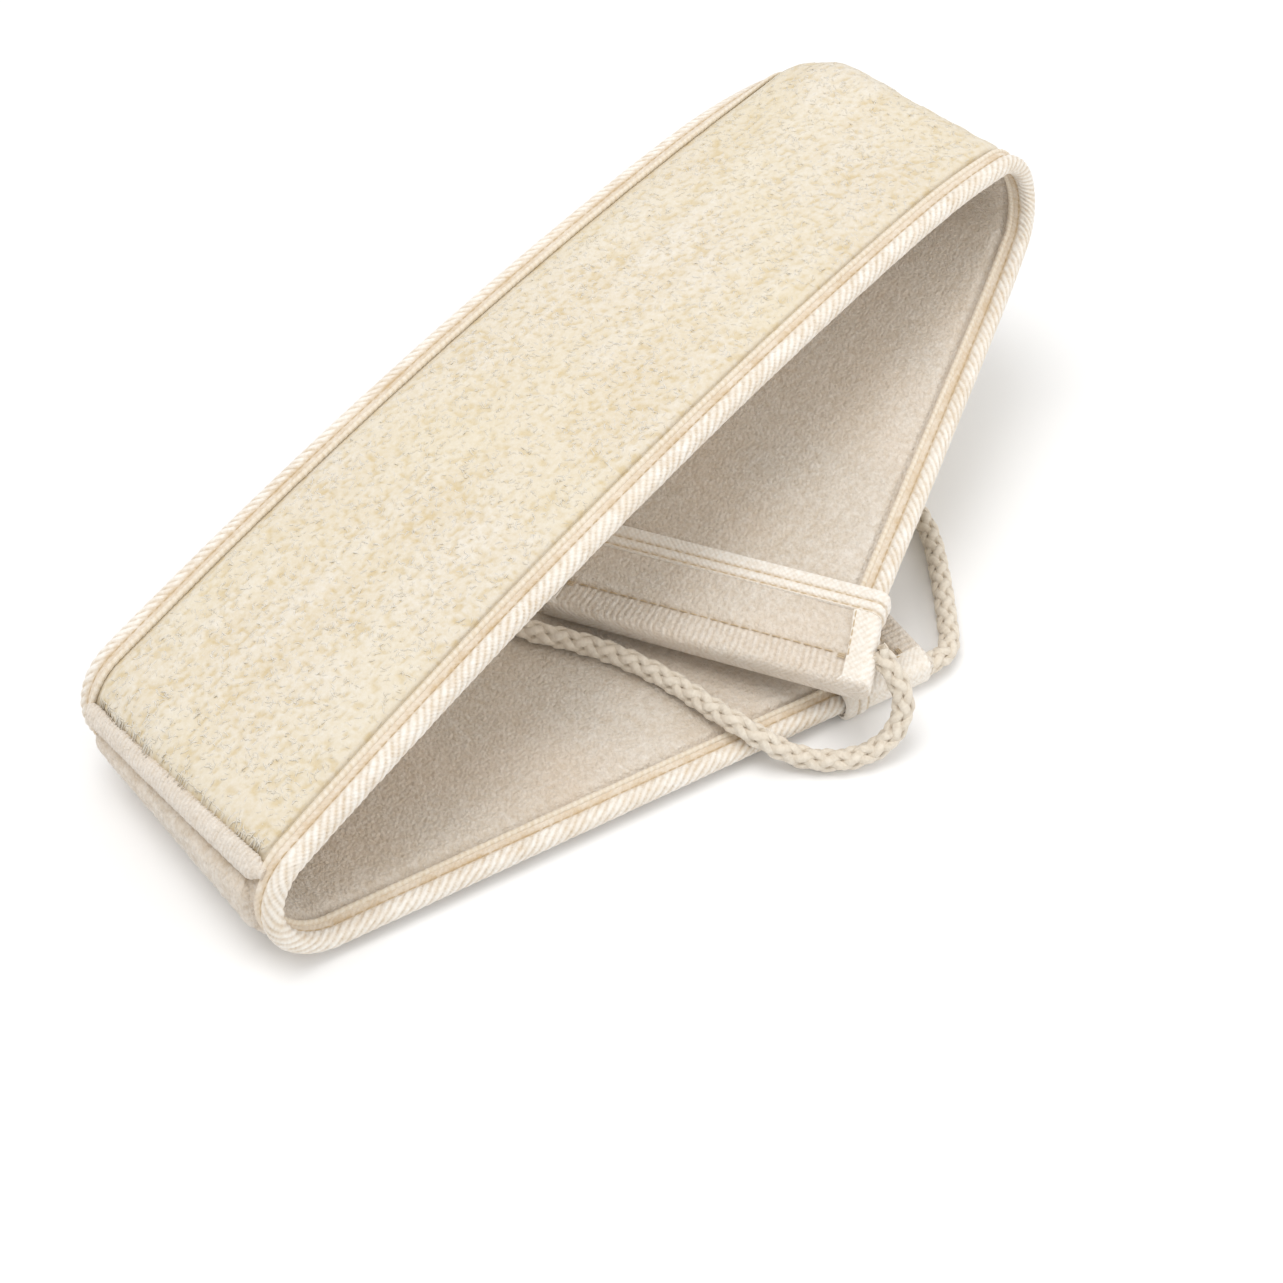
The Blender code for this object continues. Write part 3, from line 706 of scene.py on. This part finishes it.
TAPE_SPACING = 0.6 * MM
TAPE_ROUND = 2.6 * MM
RIB_PITCH = 3.2 * MM
RIB_LEAN = 1.1
RIB_HEIGHT = 0.58 * MM
BAND_LOWERED = 0.32 * MM
SEAM_DENT = 0.36 * MM
PIPING_CORNERS = 12
PIPING_SPACING = 0.7 * MM
PIPING_TWIST = 2.2 * MM
PIPING_WAVE = 0.06 * MM
SEAM_ACROSS = HALF - 5.0 * MM
ROLL_EDGE_ACROSS = HALF - 4.3 * MM


def twill_ribs(along, reach, pitch=RIB_PITCH):
    """Rounded diagonal ribs, 0 in the grooves and 1 on the crests."""
    wander = 0.25 * noise(along, reach, 7 * MM, 21)
    return np.abs(np.sin(np.pi * ((along + RIB_LEAN * reach) / pitch + wander))) ** 0.7


def binding_relief(along, across, out, reach):
    outer = np.hypot(np.abs(across) - HALF + 2.4 * MM, out * 0.8) > 1.9 * MM
    outer = np.where(np.abs(across) < HALF - 2.4 * MM, np.abs(out) > 2.6 * MM, outer)
    ribs = twill_ribs(along, reach)
    seam = bell(np.abs(across), SEAM_ACROSS, 0.5 * MM)
    ribbed = step_up(np.abs(across), ROLL_EDGE_ACROSS - 0.4 * MM, ROLL_EDGE_ACROSS + 0.6 * MM)
    pucker = noise(along, across, (4 * MM, 3 * MM), 22)
    lowered = (BAND_LOWERED + SEAM_DENT * seam) * (1 - ribbed)
    stands = outer * (RIB_HEIGHT * ribbed * (ribs - 0.8) - lowered + 0.08 * MM * ribbed * pucker)
    # Painted shade: darker in the rib grooves, along the sunken seam and over the lowered band beside the
    # piping, lighter where the cloth puckers up.
    shade = 0.46 + 0.14 * pucker + ribbed * (0.56 * ribs - 0.14) - 0.25 * seam * (1 - ribbed)
    return stands, shade


def binding_outline(side):
    leg, high = HALF - BINDING_LEG, BINDING_HALF_HEIGHT
    rounding = [math.radians(90 - 15 * k) for k in range(13)]
    reach = TAPE_ROUND
    outer = [(leg, high)]
    outer += [(HALF - reach + reach * math.cos(a), high * math.sin(a)) for a in rounding]
    outer += [(leg, -high)]
    inner = [(leg, -BINDING_LEG_INNER)]
    inner += [
        (HALF - reach + (reach - BINDING_THICKNESS) * math.cos(a), -BINDING_LEG_INNER * math.sin(a))
        for a in rounding
    ]
    inner += [(leg, BINDING_LEG_INNER)]
    points = finely(outer, TAPE_SPACING, loop=False) + finely(inner, 2 * MM, loop=False)
    return [(side * across, out) for across, out in points]


def binding(length, label, side):
    piece = loft(
        f"{length.name}_{label}_binding", binding_outline(side), length.first, length.last,
        TAPE_SPACING, binding_relief, TWILL,
    )
    fit(piece, length, f"{label}_binding")


def piping_relief(along, across, out, reach):
    twist = np.sin(2 * np.pi * (along / PIPING_TWIST + reach / (6.9 * MM)))
    wobble = noise(along, 0 * along, 5 * MM, 23)
    # Painted shade: the cord is coloured darker in the grooves of its twist.
    return PIPING_WAVE * twist + PIPING_WAVE * wobble, 0.66 + 0.16 * twist


def piping(length, label, side, face, first, last):
    across, out = side * (HALF - PIPING_INSET), face * PIPING_OUT
    turns = [2 * math.pi * k / PIPING_CORNERS for k in range(PIPING_CORNERS)]
    outline = [
        (across + PIPING_RADIUS * math.cos(turn), out + PIPING_RADIUS * math.sin(turn)) for turn in turns
    ]
    where = "inner" if face < 0 else "outer"
    piece = loft(
        f"{length.name}_{label}_{where}_piping", outline, first, last, PIPING_SPACING, piping_relief,
        PIPING,
    )
    fit(piece, length, f"{label}_{where}_piping")


# ---- the rolled hem where the loofah starts ----


ROLL_RINGS = 240
ROLL_CORNERS = 20
ROLL_RIB = 1.3 * MM


def loofah_end_hem():
    """A terry roll across the strap, between the bindings."""
    half_length = HALF - ROLL_END_INSET
    across = np.linspace(-half_length, half_length, ROLL_RINGS)[:, None]
    turns = 2 * np.pi * np.arange(ROLL_CORNERS)[None, :] / ROLL_CORNERS
    loops = noise(across + 0 * turns, 2 * MM * turns, 1.1 * MM, 31)
    ribs = np.sin(2 * np.pi * (across / ROLL_RIB + turns / ONE_TURN))
    tuck = step_up(half_length - np.abs(across), 0, 4 * MM)
    radius = (ROLL_RADIUS + 0.08 * MM * loops + 0.07 * MM * ribs) * (0.45 + 0.55 * tuck)
    centre = MIDDLE_START - ROLL_SETBACK - across * math.tan(LOOFAH_END_SLANT)
    along = centre + ROLL_WIDENING * radius * np.cos(turns)
    out = ROLL_OUT - 1.0 * MM * (1 - tuck) + radius * np.sin(turns)
    flat = np.stack((along, across + 0 * turns, out), -1)
    # Painted light and shade: the roll's top is coloured lighter and its underside darker, as if lit from
    # above, and it is darker in the hollows between its loops and ribs.
    painted_top_light = np.sin(turns) + 0 * across
    shade = 0.62 + 0.14 * loops + 0.12 * ribs + 0.22 * np.minimum(painted_top_light, 0.6) - 0.05
    piece = skin("loofah_end_roll", flat, shade, TERRY)
    bend_with(piece)
    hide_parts("loofah_end_hem")


# ---- end caps ----

CAP_SPACING = 0.5 * MM
CAP_SHOULDER = 14 * MM
SHOULDER_FLARE = 0.6
CAP_MOUTH = CAP_DEPTH - 0.6 * MM
TACK_INSET = 8 * MM
END_ROW = 10 * MM
HEM_ROWS = (4.6 * MM, 8.0 * MM)
HEM_TOP = 0.95 * MM
HEM_STEPS = 30


def oblong(half_width, low, high, corner, spacing):
    """A flattened oblong with round corners, from its front lower corner round."""
    corners = [
        (half_width - corner, high - corner, 0), (-half_width + corner, high - corner, 90),
        (-half_width + corner, low + corner, 180), (half_width - corner, low + corner, 270),
    ]
    points = []
    for across, out, begin in corners:
        for k in range(7):
            angle = math.radians(begin + 15 * k)
            points.append((across + corner * math.cos(angle), out + corner * math.sin(angle)))
    return finely(points, spacing)


def sleeve(name, end, rings, relief, surface, cyclic=False):
    """Oblong rings round the strap's end skinned together; a ring is (back, half width, low, high)."""
    widest = max(ring[1] for ring in rings)
    points, normals, reach = closed(oblong(widest, CAP_LOW, CAP_HIGH, CAP_CORNER, CAP_SPACING))
    middle = (CAP_LOW + CAP_HIGH) / 2
    half_height = (CAP_HIGH - CAP_LOW) / 2
    back, wide, low, high = (np.array(values)[:, None] for values in zip(*rings))
    across = points[None, :, 0] - np.clip(points[None, :, 0] / (HALF / 2), -1, 1) * (widest - wide)
    out = (low + high) / 2 + (points[None, :, 1] - middle) * (high - low) / 2 / half_height
    back = back + 0 * across
    stands, shade = relief(back, across, out, reach[None, :] + 0 * across)
    across = across + stands * normals[None, :, 0]
    out = out + stands * normals[None, :, 1]
    along = back if end == "lower" else STRAP_END - back
    return skin(name, np.stack((along, across, out), -1), shade, surface, cyclic)


def between(rings, spacing):
    """Rings added between the given ones, so that none is further on than the spacing."""
    fine = []
    for near, far in zip(rings, rings[1:]):
        count = max(1, math.ceil(abs(far[0] - near[0]) / spacing))
        fine += [tuple(a + (b - a) * k / count for a, b in zip(near, far)) for k in range(count)]
    return fine + [rings[-1]]


def cap_relief(back, across, out, reach):
    loops = noise(back, reach, 1.1 * MM, 41)
    rows = np.abs(np.sin(np.pi * reach / (2.1 * MM)))
    border = 1 - step_up(back, END_ROW - 0.8 * MM, END_ROW + 0.8 * MM)
    seam = bell(back, END_ROW, 0.8 * MM)
    swell = noise(back, reach, (14 * MM, 22 * MM), 42)
    body = 1 - border
    inner = step_up(back, 0.2 * MM, 1.2 * MM)
    stands = 0.16 * MM * loops * body + border * 0.42 * MM * (rows + 0.3 * loops - 0.5) - 0.55 * MM * seam
    # Painted shade: darker between the border's rows and in the stitched groove, lighter where the loops
    # stand up.
    shade = 0.62 + 0.2 * loops + border * (0.34 * rows - 0.18) - 0.35 * seam
    return inner * (stands + 0.22 * MM * swell), shade


def end_cap(end, flare):
    width = CAP_HALF_WIDTH
    rounding = [
        (back * MM, width + flare - inset * MM, CAP_LOW + drop * MM, CAP_HIGH - drop * MM)
        for back, inset, drop in ((0, 4.6, 4.0), (0, 2.6, 2.2), (0.35, 1.2, 1.1), (1.1, 0.4, 0.35))
    ]
    outer = rounding[:1] + between(rounding[1:] + [
        (2.2 * MM, width + flare, CAP_LOW, CAP_HIGH),
        (CAP_SHOULDER, width + SHOULDER_FLARE * flare, CAP_LOW, CAP_HIGH),
        (CAP_DEPTH - HEM_WIDTH, width, CAP_LOW, CAP_HIGH),
        (CAP_MOUTH, width, CAP_LOW, CAP_HIGH),
    ], 0.6 * MM)
    lining = [
        (back, width - CAP_WALL, CAP_LOW + CAP_WALL, CAP_HIGH - CAP_WALL)
        for back in (CAP_MOUTH, CAP_SHOULDER, 1.5 * MM)
    ]
    skins = len(outer)

    def relief(back, across, out, reach):
        stands, shade = cap_relief(back, across, out, reach)
        stands[skins:] = 0
        return stands, shade

    piece = sleeve(f"{end}_terry_cap", end, outer + lining, relief, TERRY)
    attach(piece, f"{end}_end")
    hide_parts(f"{end}_end_cap")


def cap_hem(end):
    """The tape round the cap's mouth, pulled in along its two rows of stitches."""
    width = CAP_HALF_WIDTH
    outer = []
    for share in [k / HEM_STEPS for k in range(HEM_STEPS + 1)]:
        back = HEM_WIDTH * share
        rounding = math.sqrt(max(0, 1 - (2 * share - 1) ** 8))
        dent = 0.6 * sum(math.exp(-((back - row) / (0.5 * MM)) ** 2) for row in HEM_ROWS)
        rise = GAP / 2 + (HEM_TOP - GAP / 2) * rounding * (1 - dent)
        outer.append((CAP_DEPTH - back, width + rise, CAP_LOW - rise, CAP_HIGH + rise))
    inner = [
        (CAP_DEPTH - HEM_WIDTH * share, width - 0.2 * MM, CAP_LOW + 0.2 * MM, CAP_HIGH - 0.2 * MM)
        for share in (1, 0.5, 0)
    ]

    def relief(back, across, out, reach):
        ribs = twill_ribs(back, reach, 2.2 * MM)
        stands = 0.12 * MM * (ribs - 0.5)
        stands[len(outer):] = 0
        # Painted shade: darker in the rib grooves and where the stitch rows pull the tape in.
        row = sum(bell(CAP_DEPTH - back, place, 0.6 * MM) for place in HEM_ROWS)
        return stands, 0.74 + 0.16 * ribs - 0.45 * row

    piece = sleeve(f"{end}_hem_tape", end, outer + inner, relief, TWILL, cyclic=True)
    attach(piece, f"{end}_end")
    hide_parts(f"{end}_cap_hem")


def cap_edge_tape(end, label, side, flare):
    """Twill tape folded round the cap's side, from the hem to the corner."""
    rise, thick = 0.55 * MM, 0.5 * MM
    high, low = CAP_HIGH + rise, CAP_LOW - rise
    corner = CAP_CORNER + rise
    arc = [math.radians(90 - 15 * k) for k in range(7)]
    outer = [(-TACK_INSET, high)]
    outer += [(-corner + rise + corner * math.cos(a), high - corner + corner * math.sin(a)) for a in arc]
    outer += [(-corner + rise + corner * math.cos(a), low + corner - corner * math.sin(a)) for a in arc[::-1]]
    outer += [(-TACK_INSET, low)]
    inner = [(x - thick * (0 if x == -TACK_INSET else x > -corner), z - thick * np.sign(z)) for x, z in outer]
    face = finely(outer, 0.7 * MM, loop=False)
    back_face = finely(inner[::-1], 3 * MM, loop=False)
    points, normals, reach = closed([(side * x, z) for x, z in face + back_face])
    backs = np.arange(CAP_DEPTH - HEM_WIDTH + 0.2 * MM, 0.9 * MM, -0.6 * MM)[:, None]
    flares = flare * np.interp(backs, [2 * MM, CAP_SHOULDER, CAP_DEPTH - HEM_WIDTH], [1, SHOULDER_FLARE, 0])
    sink = 1.6 * MM * (1 - step_up(backs, 0.5 * MM, 3 * MM))
    ribs = twill_ribs(backs, reach[None, :], 2.4 * MM)
    shown = np.arange(len(points)) < len(face)
    stands = shown * 0.26 * MM * (ribs - 0.6)
    across = side * (CAP_HALF_WIDTH + flares - sink) + points[None, :, 0] + stands * normals[:, 0]
    out = points[None, :, 1] * (1 - sink / (9 * MM)) + stands * normals[:, 1]
    along = (backs if end == "lower" else STRAP_END - backs) + 0 * across
    flat = np.stack((along, across, out), -1)
    # Painted shade: the tape is coloured darker in its rib grooves.
    piece = skin(f"{end}_cap_{label}_tape", flat, 0.66 + 0.24 * ribs, TWILL)
    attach(piece, f"{end}_end")


# ---- sewing thread ----

STITCH = 2.6 * MM
STITCH_GAP = 0.7 * MM
STITCH_RISE = 0.16 * MM
THREAD_RADIUS = 0.2 * MM
THREAD_SIDES = 6
THREAD_SHADE = 0.35


def seam(begin, finish):
    """Dashes of thread on the flat strap from one point to another, each a low arch."""
    begin, finish = np.array(begin, float), np.array(finish, float)
    length = np.linalg.norm(finish - begin)
    count = max(1, int(length / (STITCH + STITCH_GAP)))
    starts = (np.arange(count) + 0.15) * length / count
    shares = np.linspace(0, 1, 6)
    reach = starts[:, None] + STITCH * shares[None, :]
    lines = begin + (finish - begin) * (reach / length)[:, :, None]
    arch = np.sin(np.pi * shares) * STITCH_RISE
    lines[:, :, 2] += np.sign(begin[2]) * arch[None, :]
    return lines


def stitches(name, seams):
    lines = np.concatenate(seams)
    flat, faces = tubes(lines, np.full(len(lines), THREAD_RADIUS), THREAD_SIDES)
    shade = np.full(len(flat), THREAD_SHADE)
    return build(name, folded(flat), faces, flat, shade, THREAD, sharp=None)


def edge_seams(length):
    """The rows that hold the binding, on both faces and both edges."""
    first, last = length.first, length.last
    seams = []
    for side in (-1, 1):
        across = side * SEAM_ACROSS
        for face in (-1, 1):
            out = face * (BINDING_HALF_HEIGHT - 0.72 * MM)
            begin = (first.along - across * math.tan(first.slant), across, out)
            finish = (last.along - across * math.tan(last.slant), across, out)
            seams.append(seam(begin, finish))
    bend_with(stitches(f"{length.name}_edge_stitches", seams))


def cap_seams(end, flare):
    """Two rows on the hem, one row near the cap's end, one beside each side and a small tack."""
    seams = []
    width = HALF - 1.5 * MM

    def point(back, across, out):
        return (back if end == "lower" else STRAP_END - back, across, out)

    for out in (CAP_LOW - 0.35 * MM, CAP_HIGH + 0.35 * MM):
        for row in HEM_ROWS:
            back = CAP_DEPTH - row
            seams.append(seam(point(back, -width, out), point(back, width, out)))
    for out in (CAP_LOW + 0.32 * MM, CAP_HIGH - 0.32 * MM):
        reach = HALF - TACK_INSET + 0.5 * MM
        seams.append(seam(point(END_ROW, -reach, out), point(END_ROW, reach, out)))
    for out in (CAP_LOW - 0.62 * MM, CAP_HIGH + 0.62 * MM):
        for side in (-1, 1):
            far = side * (CAP_HALF_WIDTH + 0.68 * flare - TACK_INSET + 0.8 * MM)
            near = side * (CAP_HALF_WIDTH - TACK_INSET + 0.8 * MM)
            seams.append(seam(point(9 * MM, far, out), point(CAP_DEPTH - HEM_WIDTH, near, out)))
            tack = far - side * 0.2 * MM
            for k in range(3):
                back = (8.2 + 0.6 * k) * MM
                seams.append(seam(point(back, tack, out), point(back, tack - side * 3 * MM, out)))
    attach(stitches(f"{end}_cap_stitches", seams), f"{end}_end")


# ---- rope loops ----

ROPE_SPACING = 0.7 * MM
LEAD_POINTS = 8
STRANDS = 4
STRAND_SIDES = 9
STRAND_RADIUS = 1.22 * MM
STRAND_WIDTH = STRAND_RADIUS * 1.22
STRAND_HEIGHT = STRAND_RADIUS * 0.92
YARNS = 5
YARN_TWIST = 4 * MM
BRAID_RADIUS = 2.12 * MM
BRAID_PITCH = 32 * MM
BRAID_WEAVE = 0.42 * MM
HIDDEN_END = 5 * MM


def smooth_route(route, step):
    """Evenly spaced points on the smooth curve through the route's own points."""
    knots = np.array(route)
    knots = np.vstack((2 * knots[0] - knots[1], knots, 2 * knots[-1] - knots[-2]))
    share = np.linspace(0, 1, 20, endpoint=False)[:, None]
    fine = []
    for before, here, ahead, after in zip(knots, knots[1:], knots[2:], knots[3:]):
        fine.append(0.5 * (
            2 * here
            + (ahead - before) * share
            + (2 * before - 5 * here + 4 * ahead - after) * share ** 2
            + (3 * here - before - 3 * ahead + after) * share ** 3
        ))
    fine = np.vstack(fine + [knots[-2]])
    reach = np.r_[0, np.cumsum(np.linalg.norm(np.diff(fine, axis=0), axis=1))]
    wanted = np.linspace(0, reach[-1], round(reach[-1] / step) + 1)
    return np.column_stack([np.interp(wanted, reach, fine[:, k]) for k in range(3)]), reach[-1]


def frames_along(points):
    """Two cross directions at each point, which turn as little as they can."""
    tangents = np.gradient(points, axis=0)
    tangents /= np.linalg.norm(tangents, axis=1, keepdims=True)
    normal = np.cross(tangents[0], (0, 0, 1))
    normals = []
    for tangent in tangents:
        normal = normal - tangent * np.dot(normal, tangent)
        normal = normal / np.linalg.norm(normal)
        normals.append(normal)
    normals = np.array(normals)
    return normals, np.cross(tangents, normals)


def rope_loop(end, route):
    """Eight strands, four each way round, braided over and under each other."""
    points, length = smooth_route(route, ROPE_SPACING)
    shares = np.linspace(0, 1, LEAD_POINTS)[1:, None]
    hidden_in = (points[0] - points[1]) / ROPE_SPACING * HIDDEN_END
    hidden_out = (points[-1] - points[-2]) / ROPE_SPACING * HIDDEN_END
    line = np.vstack((points[0] + hidden_in * shares[::-1], points, points[-1] + hidden_out * shares))
    normals, sides = frames_along(line)
    gone = np.r_[0, np.cumsum(np.linalg.norm(np.diff(line, axis=0), axis=1))]
    all_places, all_faces, all_flat, all_shade = [], [], [], []
    offset = 0
    round_strand = 2 * np.pi * np.arange(STRAND_SIDES) / STRAND_SIDES
    yarns = np.sin(YARNS * round_strand[None, :] + 2 * np.pi * gone[:, None] / YARN_TWIST)
    fuzz = 1 + 0.07 * yarns
    for hand in (-1, 1):
        for k in range(STRANDS):
            turn = hand * 2 * np.pi * gone / BRAID_PITCH + k * 2 * np.pi / STRANDS
            radius = BRAID_RADIUS + hand * BRAID_WEAVE * np.cos(STRANDS * turn)
            radial = np.cos(turn)[:, None] * normals + np.sin(turn)[:, None] * sides
            centre = line + radius[:, None] * radial
            tangent = np.gradient(centre, axis=0)
            tangent /= np.linalg.norm(tangent, axis=1, keepdims=True)
            aside = np.cross(tangent, radial)
            aside /= np.linalg.norm(aside, axis=1, keepdims=True)
            up = np.cross(aside, tangent)
            across = (STRAND_WIDTH * fuzz * np.cos(round_strand))[:, :, None] * aside[:, None, :]
            out = (STRAND_HEIGHT * fuzz * np.sin(round_strand))[:, :, None] * up[:, None, :]
            places = (centre[:, None, :] + across + out).reshape(-1, 3)
            faces = outward(places, ring_faces(len(line), STRAND_SIDES))
            all_places.append(places)
            all_faces += [[index + offset for index in face] for face in faces]
            offset += len(places)
            # Painted shade: strands are coloured darker where they dip under their neighbours, on their faces
            # towards the rope's core and between their yarns.
            rise = (radius - BRAID_RADIUS) / BRAID_WEAVE
            shade = 0.58 + 0.16 * rise[:, None] + 0.22 * np.sin(round_strand)[None, :]
            shade = shade + 0.10 * yarns
            all_shade.append(shade.ravel())
            strand = 10 * MM * (k + 2 * hand)
            beside = strand + 3 * MM * round_strand[None, :] / ONE_TURN
            flat = np.stack((gone[:, None] + 0 * shade, beside + 0 * shade, 0 * shade), -1)
            all_flat.append(flat.reshape(-1, 3))
    piece = build(
        f"{end}_braided_rope", np.vstack(all_places), all_faces, np.vstack(all_flat),
        np.concatenate(all_shade), ROPE,
    )
    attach(piece, f"{end}_rope")
    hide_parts(f"{end}_rope_loop")


# ---- camera, light and floor ----

CAMERA_PLACE = Vector((-0.2032, -0.3487, 0.4605))
CAMERA_AZIMUTH = math.radians(-33.59)
CAMERA_DOWN = math.radians(46.92)
CAMERA_ROLL = math.radians(2.79)
CAMERA_LENS = 54.9
LIGHT_AIM = Vector((0.03, 0, 0.04))
FLOOR_REACH = 6
FLOOR_DROP = 0.3 * MM
PAPER = (0.93, 0.93, 0.93, 1)


def add_camera():
    ahead = Vector((-math.sin(CAMERA_AZIMUTH), math.cos(CAMERA_AZIMUTH), 0)) * math.cos(CAMERA_DOWN)
    ahead.z = -math.sin(CAMERA_DOWN)
    level = ahead.cross(Vector((0, 0, 1))).normalized()
    right = level * math.cos(CAMERA_ROLL) + level.cross(ahead) * math.sin(CAMERA_ROLL)
    upward = right.cross(ahead)
    data = bpy.data.cameras.new("camera")
    data.lens = CAMERA_LENS
    camera = bpy.data.objects.new("camera", data)
    facing = Matrix((right, upward, -ahead)).transposed().to_4x4()
    camera.matrix_world = Matrix.Translation(CAMERA_PLACE) @ facing
    bpy.context.scene.collection.objects.link(camera)
    bpy.context.scene.camera = camera


def add_light(name, place, energy, size, colour):
    data = bpy.data.lights.new(name, "AREA")
    data.energy = energy
    data.size = size
    data.color = colour
    lamp = bpy.data.objects.new(name, data)
    lamp.location = place
    lamp.rotation_euler = (LIGHT_AIM - Vector(place)).to_track_quat("-Z", "Y").to_euler()
    bpy.context.scene.collection.objects.link(lamp)


def add_studio():
    floor_data = bpy.data.meshes.new("floor")
    corners = [(x * FLOOR_REACH, y * FLOOR_REACH, 0) for x, y in ((-1, -1), (1, -1), (1, 1), (-1, 1))]
    floor_data.from_pydata(corners, [], [(0, 1, 2, 3)])
    paper = bpy.data.materials.new("white_paper")
    paper.use_nodes = True
    shader = paper.node_tree.nodes["Principled BSDF"]
    shader.inputs["Base Color"].default_value = PAPER
    shader.inputs["Roughness"].default_value = 0.9
    floor_data.materials.append(paper)
    floor = bpy.data.objects.new("floor", floor_data)
    floor.location.z = -FLOOR_DROP
    bpy.context.scene.collection.objects.link(floor)
    world = bpy.data.worlds.new("studio")
    world.use_nodes = True
    sky = world.node_tree.nodes["Background"]
    sky.inputs["Color"].default_value = (1, 1, 1, 1)
    sky.inputs["Strength"].default_value = 0.75
    bpy.context.scene.world = world
    bpy.context.scene.view_settings.view_transform = "Standard"
    add_light("key", (-0.25, 0.15, 1.3), 8, 0.8, (1, 0.99, 0.98))
    add_light("fill", (0.8, -0.9, 0.7), 4.5, 1.0, (1, 0.98, 0.95))


add_camera()
add_studio()
rope_loop("lower", LOWER_ROPE_ROUTE)
rope_loop("upper", UPPER_ROPE_ROUTE)

SIDES = {"front": -1, "back": 1}
LOOFAH_SEED = 50
LOOFAH_SPANS = {
    "rising": (LOOFAH_START, STRAP_MIDDLE),
    "top": (STRAP_MIDDLE, UPPER_BEND),
    "hanging": (UPPER_BEND, UPPER_CAP_IN),
}
INNER_PIPING_SPANS = {
    **LOOFAH_SPANS,
    "lying": (LOWER_CAP_IN, LOWER_BEND),
    "rising": (LOWER_BEND, STRAP_MIDDLE),
}

for seed, length in enumerate(LENGTHS):
    terry_backing(length)
    wadding(length)
    edge_seams(length)
    for label, side in SIDES.items():
        binding(length, label, side)
        piping(length, label, side, -1, *INNER_PIPING_SPANS[length.name])
        if length.name in LOOFAH_SPANS:
            piping(length, label, side, 1, *LOOFAH_SPANS[length.name])
    if length.name in LOOFAH_SPANS:
        loofah(length, *LOOFAH_SPANS[length.name], LOOFAH_SEED + seed)
lying, rising = LENGTHS[:2]
terry_facing(lying, LOWER_CAP_IN, LOWER_BEND)
terry_facing(rising, LOWER_BEND, FACING_END)
loofah_end_hem()
for end, flare in (("lower", LOWER_CAP_FLARE), ("upper", UPPER_CAP_FLARE)):
    end_cap(end, flare)
    cap_hem(end)
    cap_seams(end, flare)
    for label, side in SIDES.items():
        cap_edge_tape(end, label, side, flare)
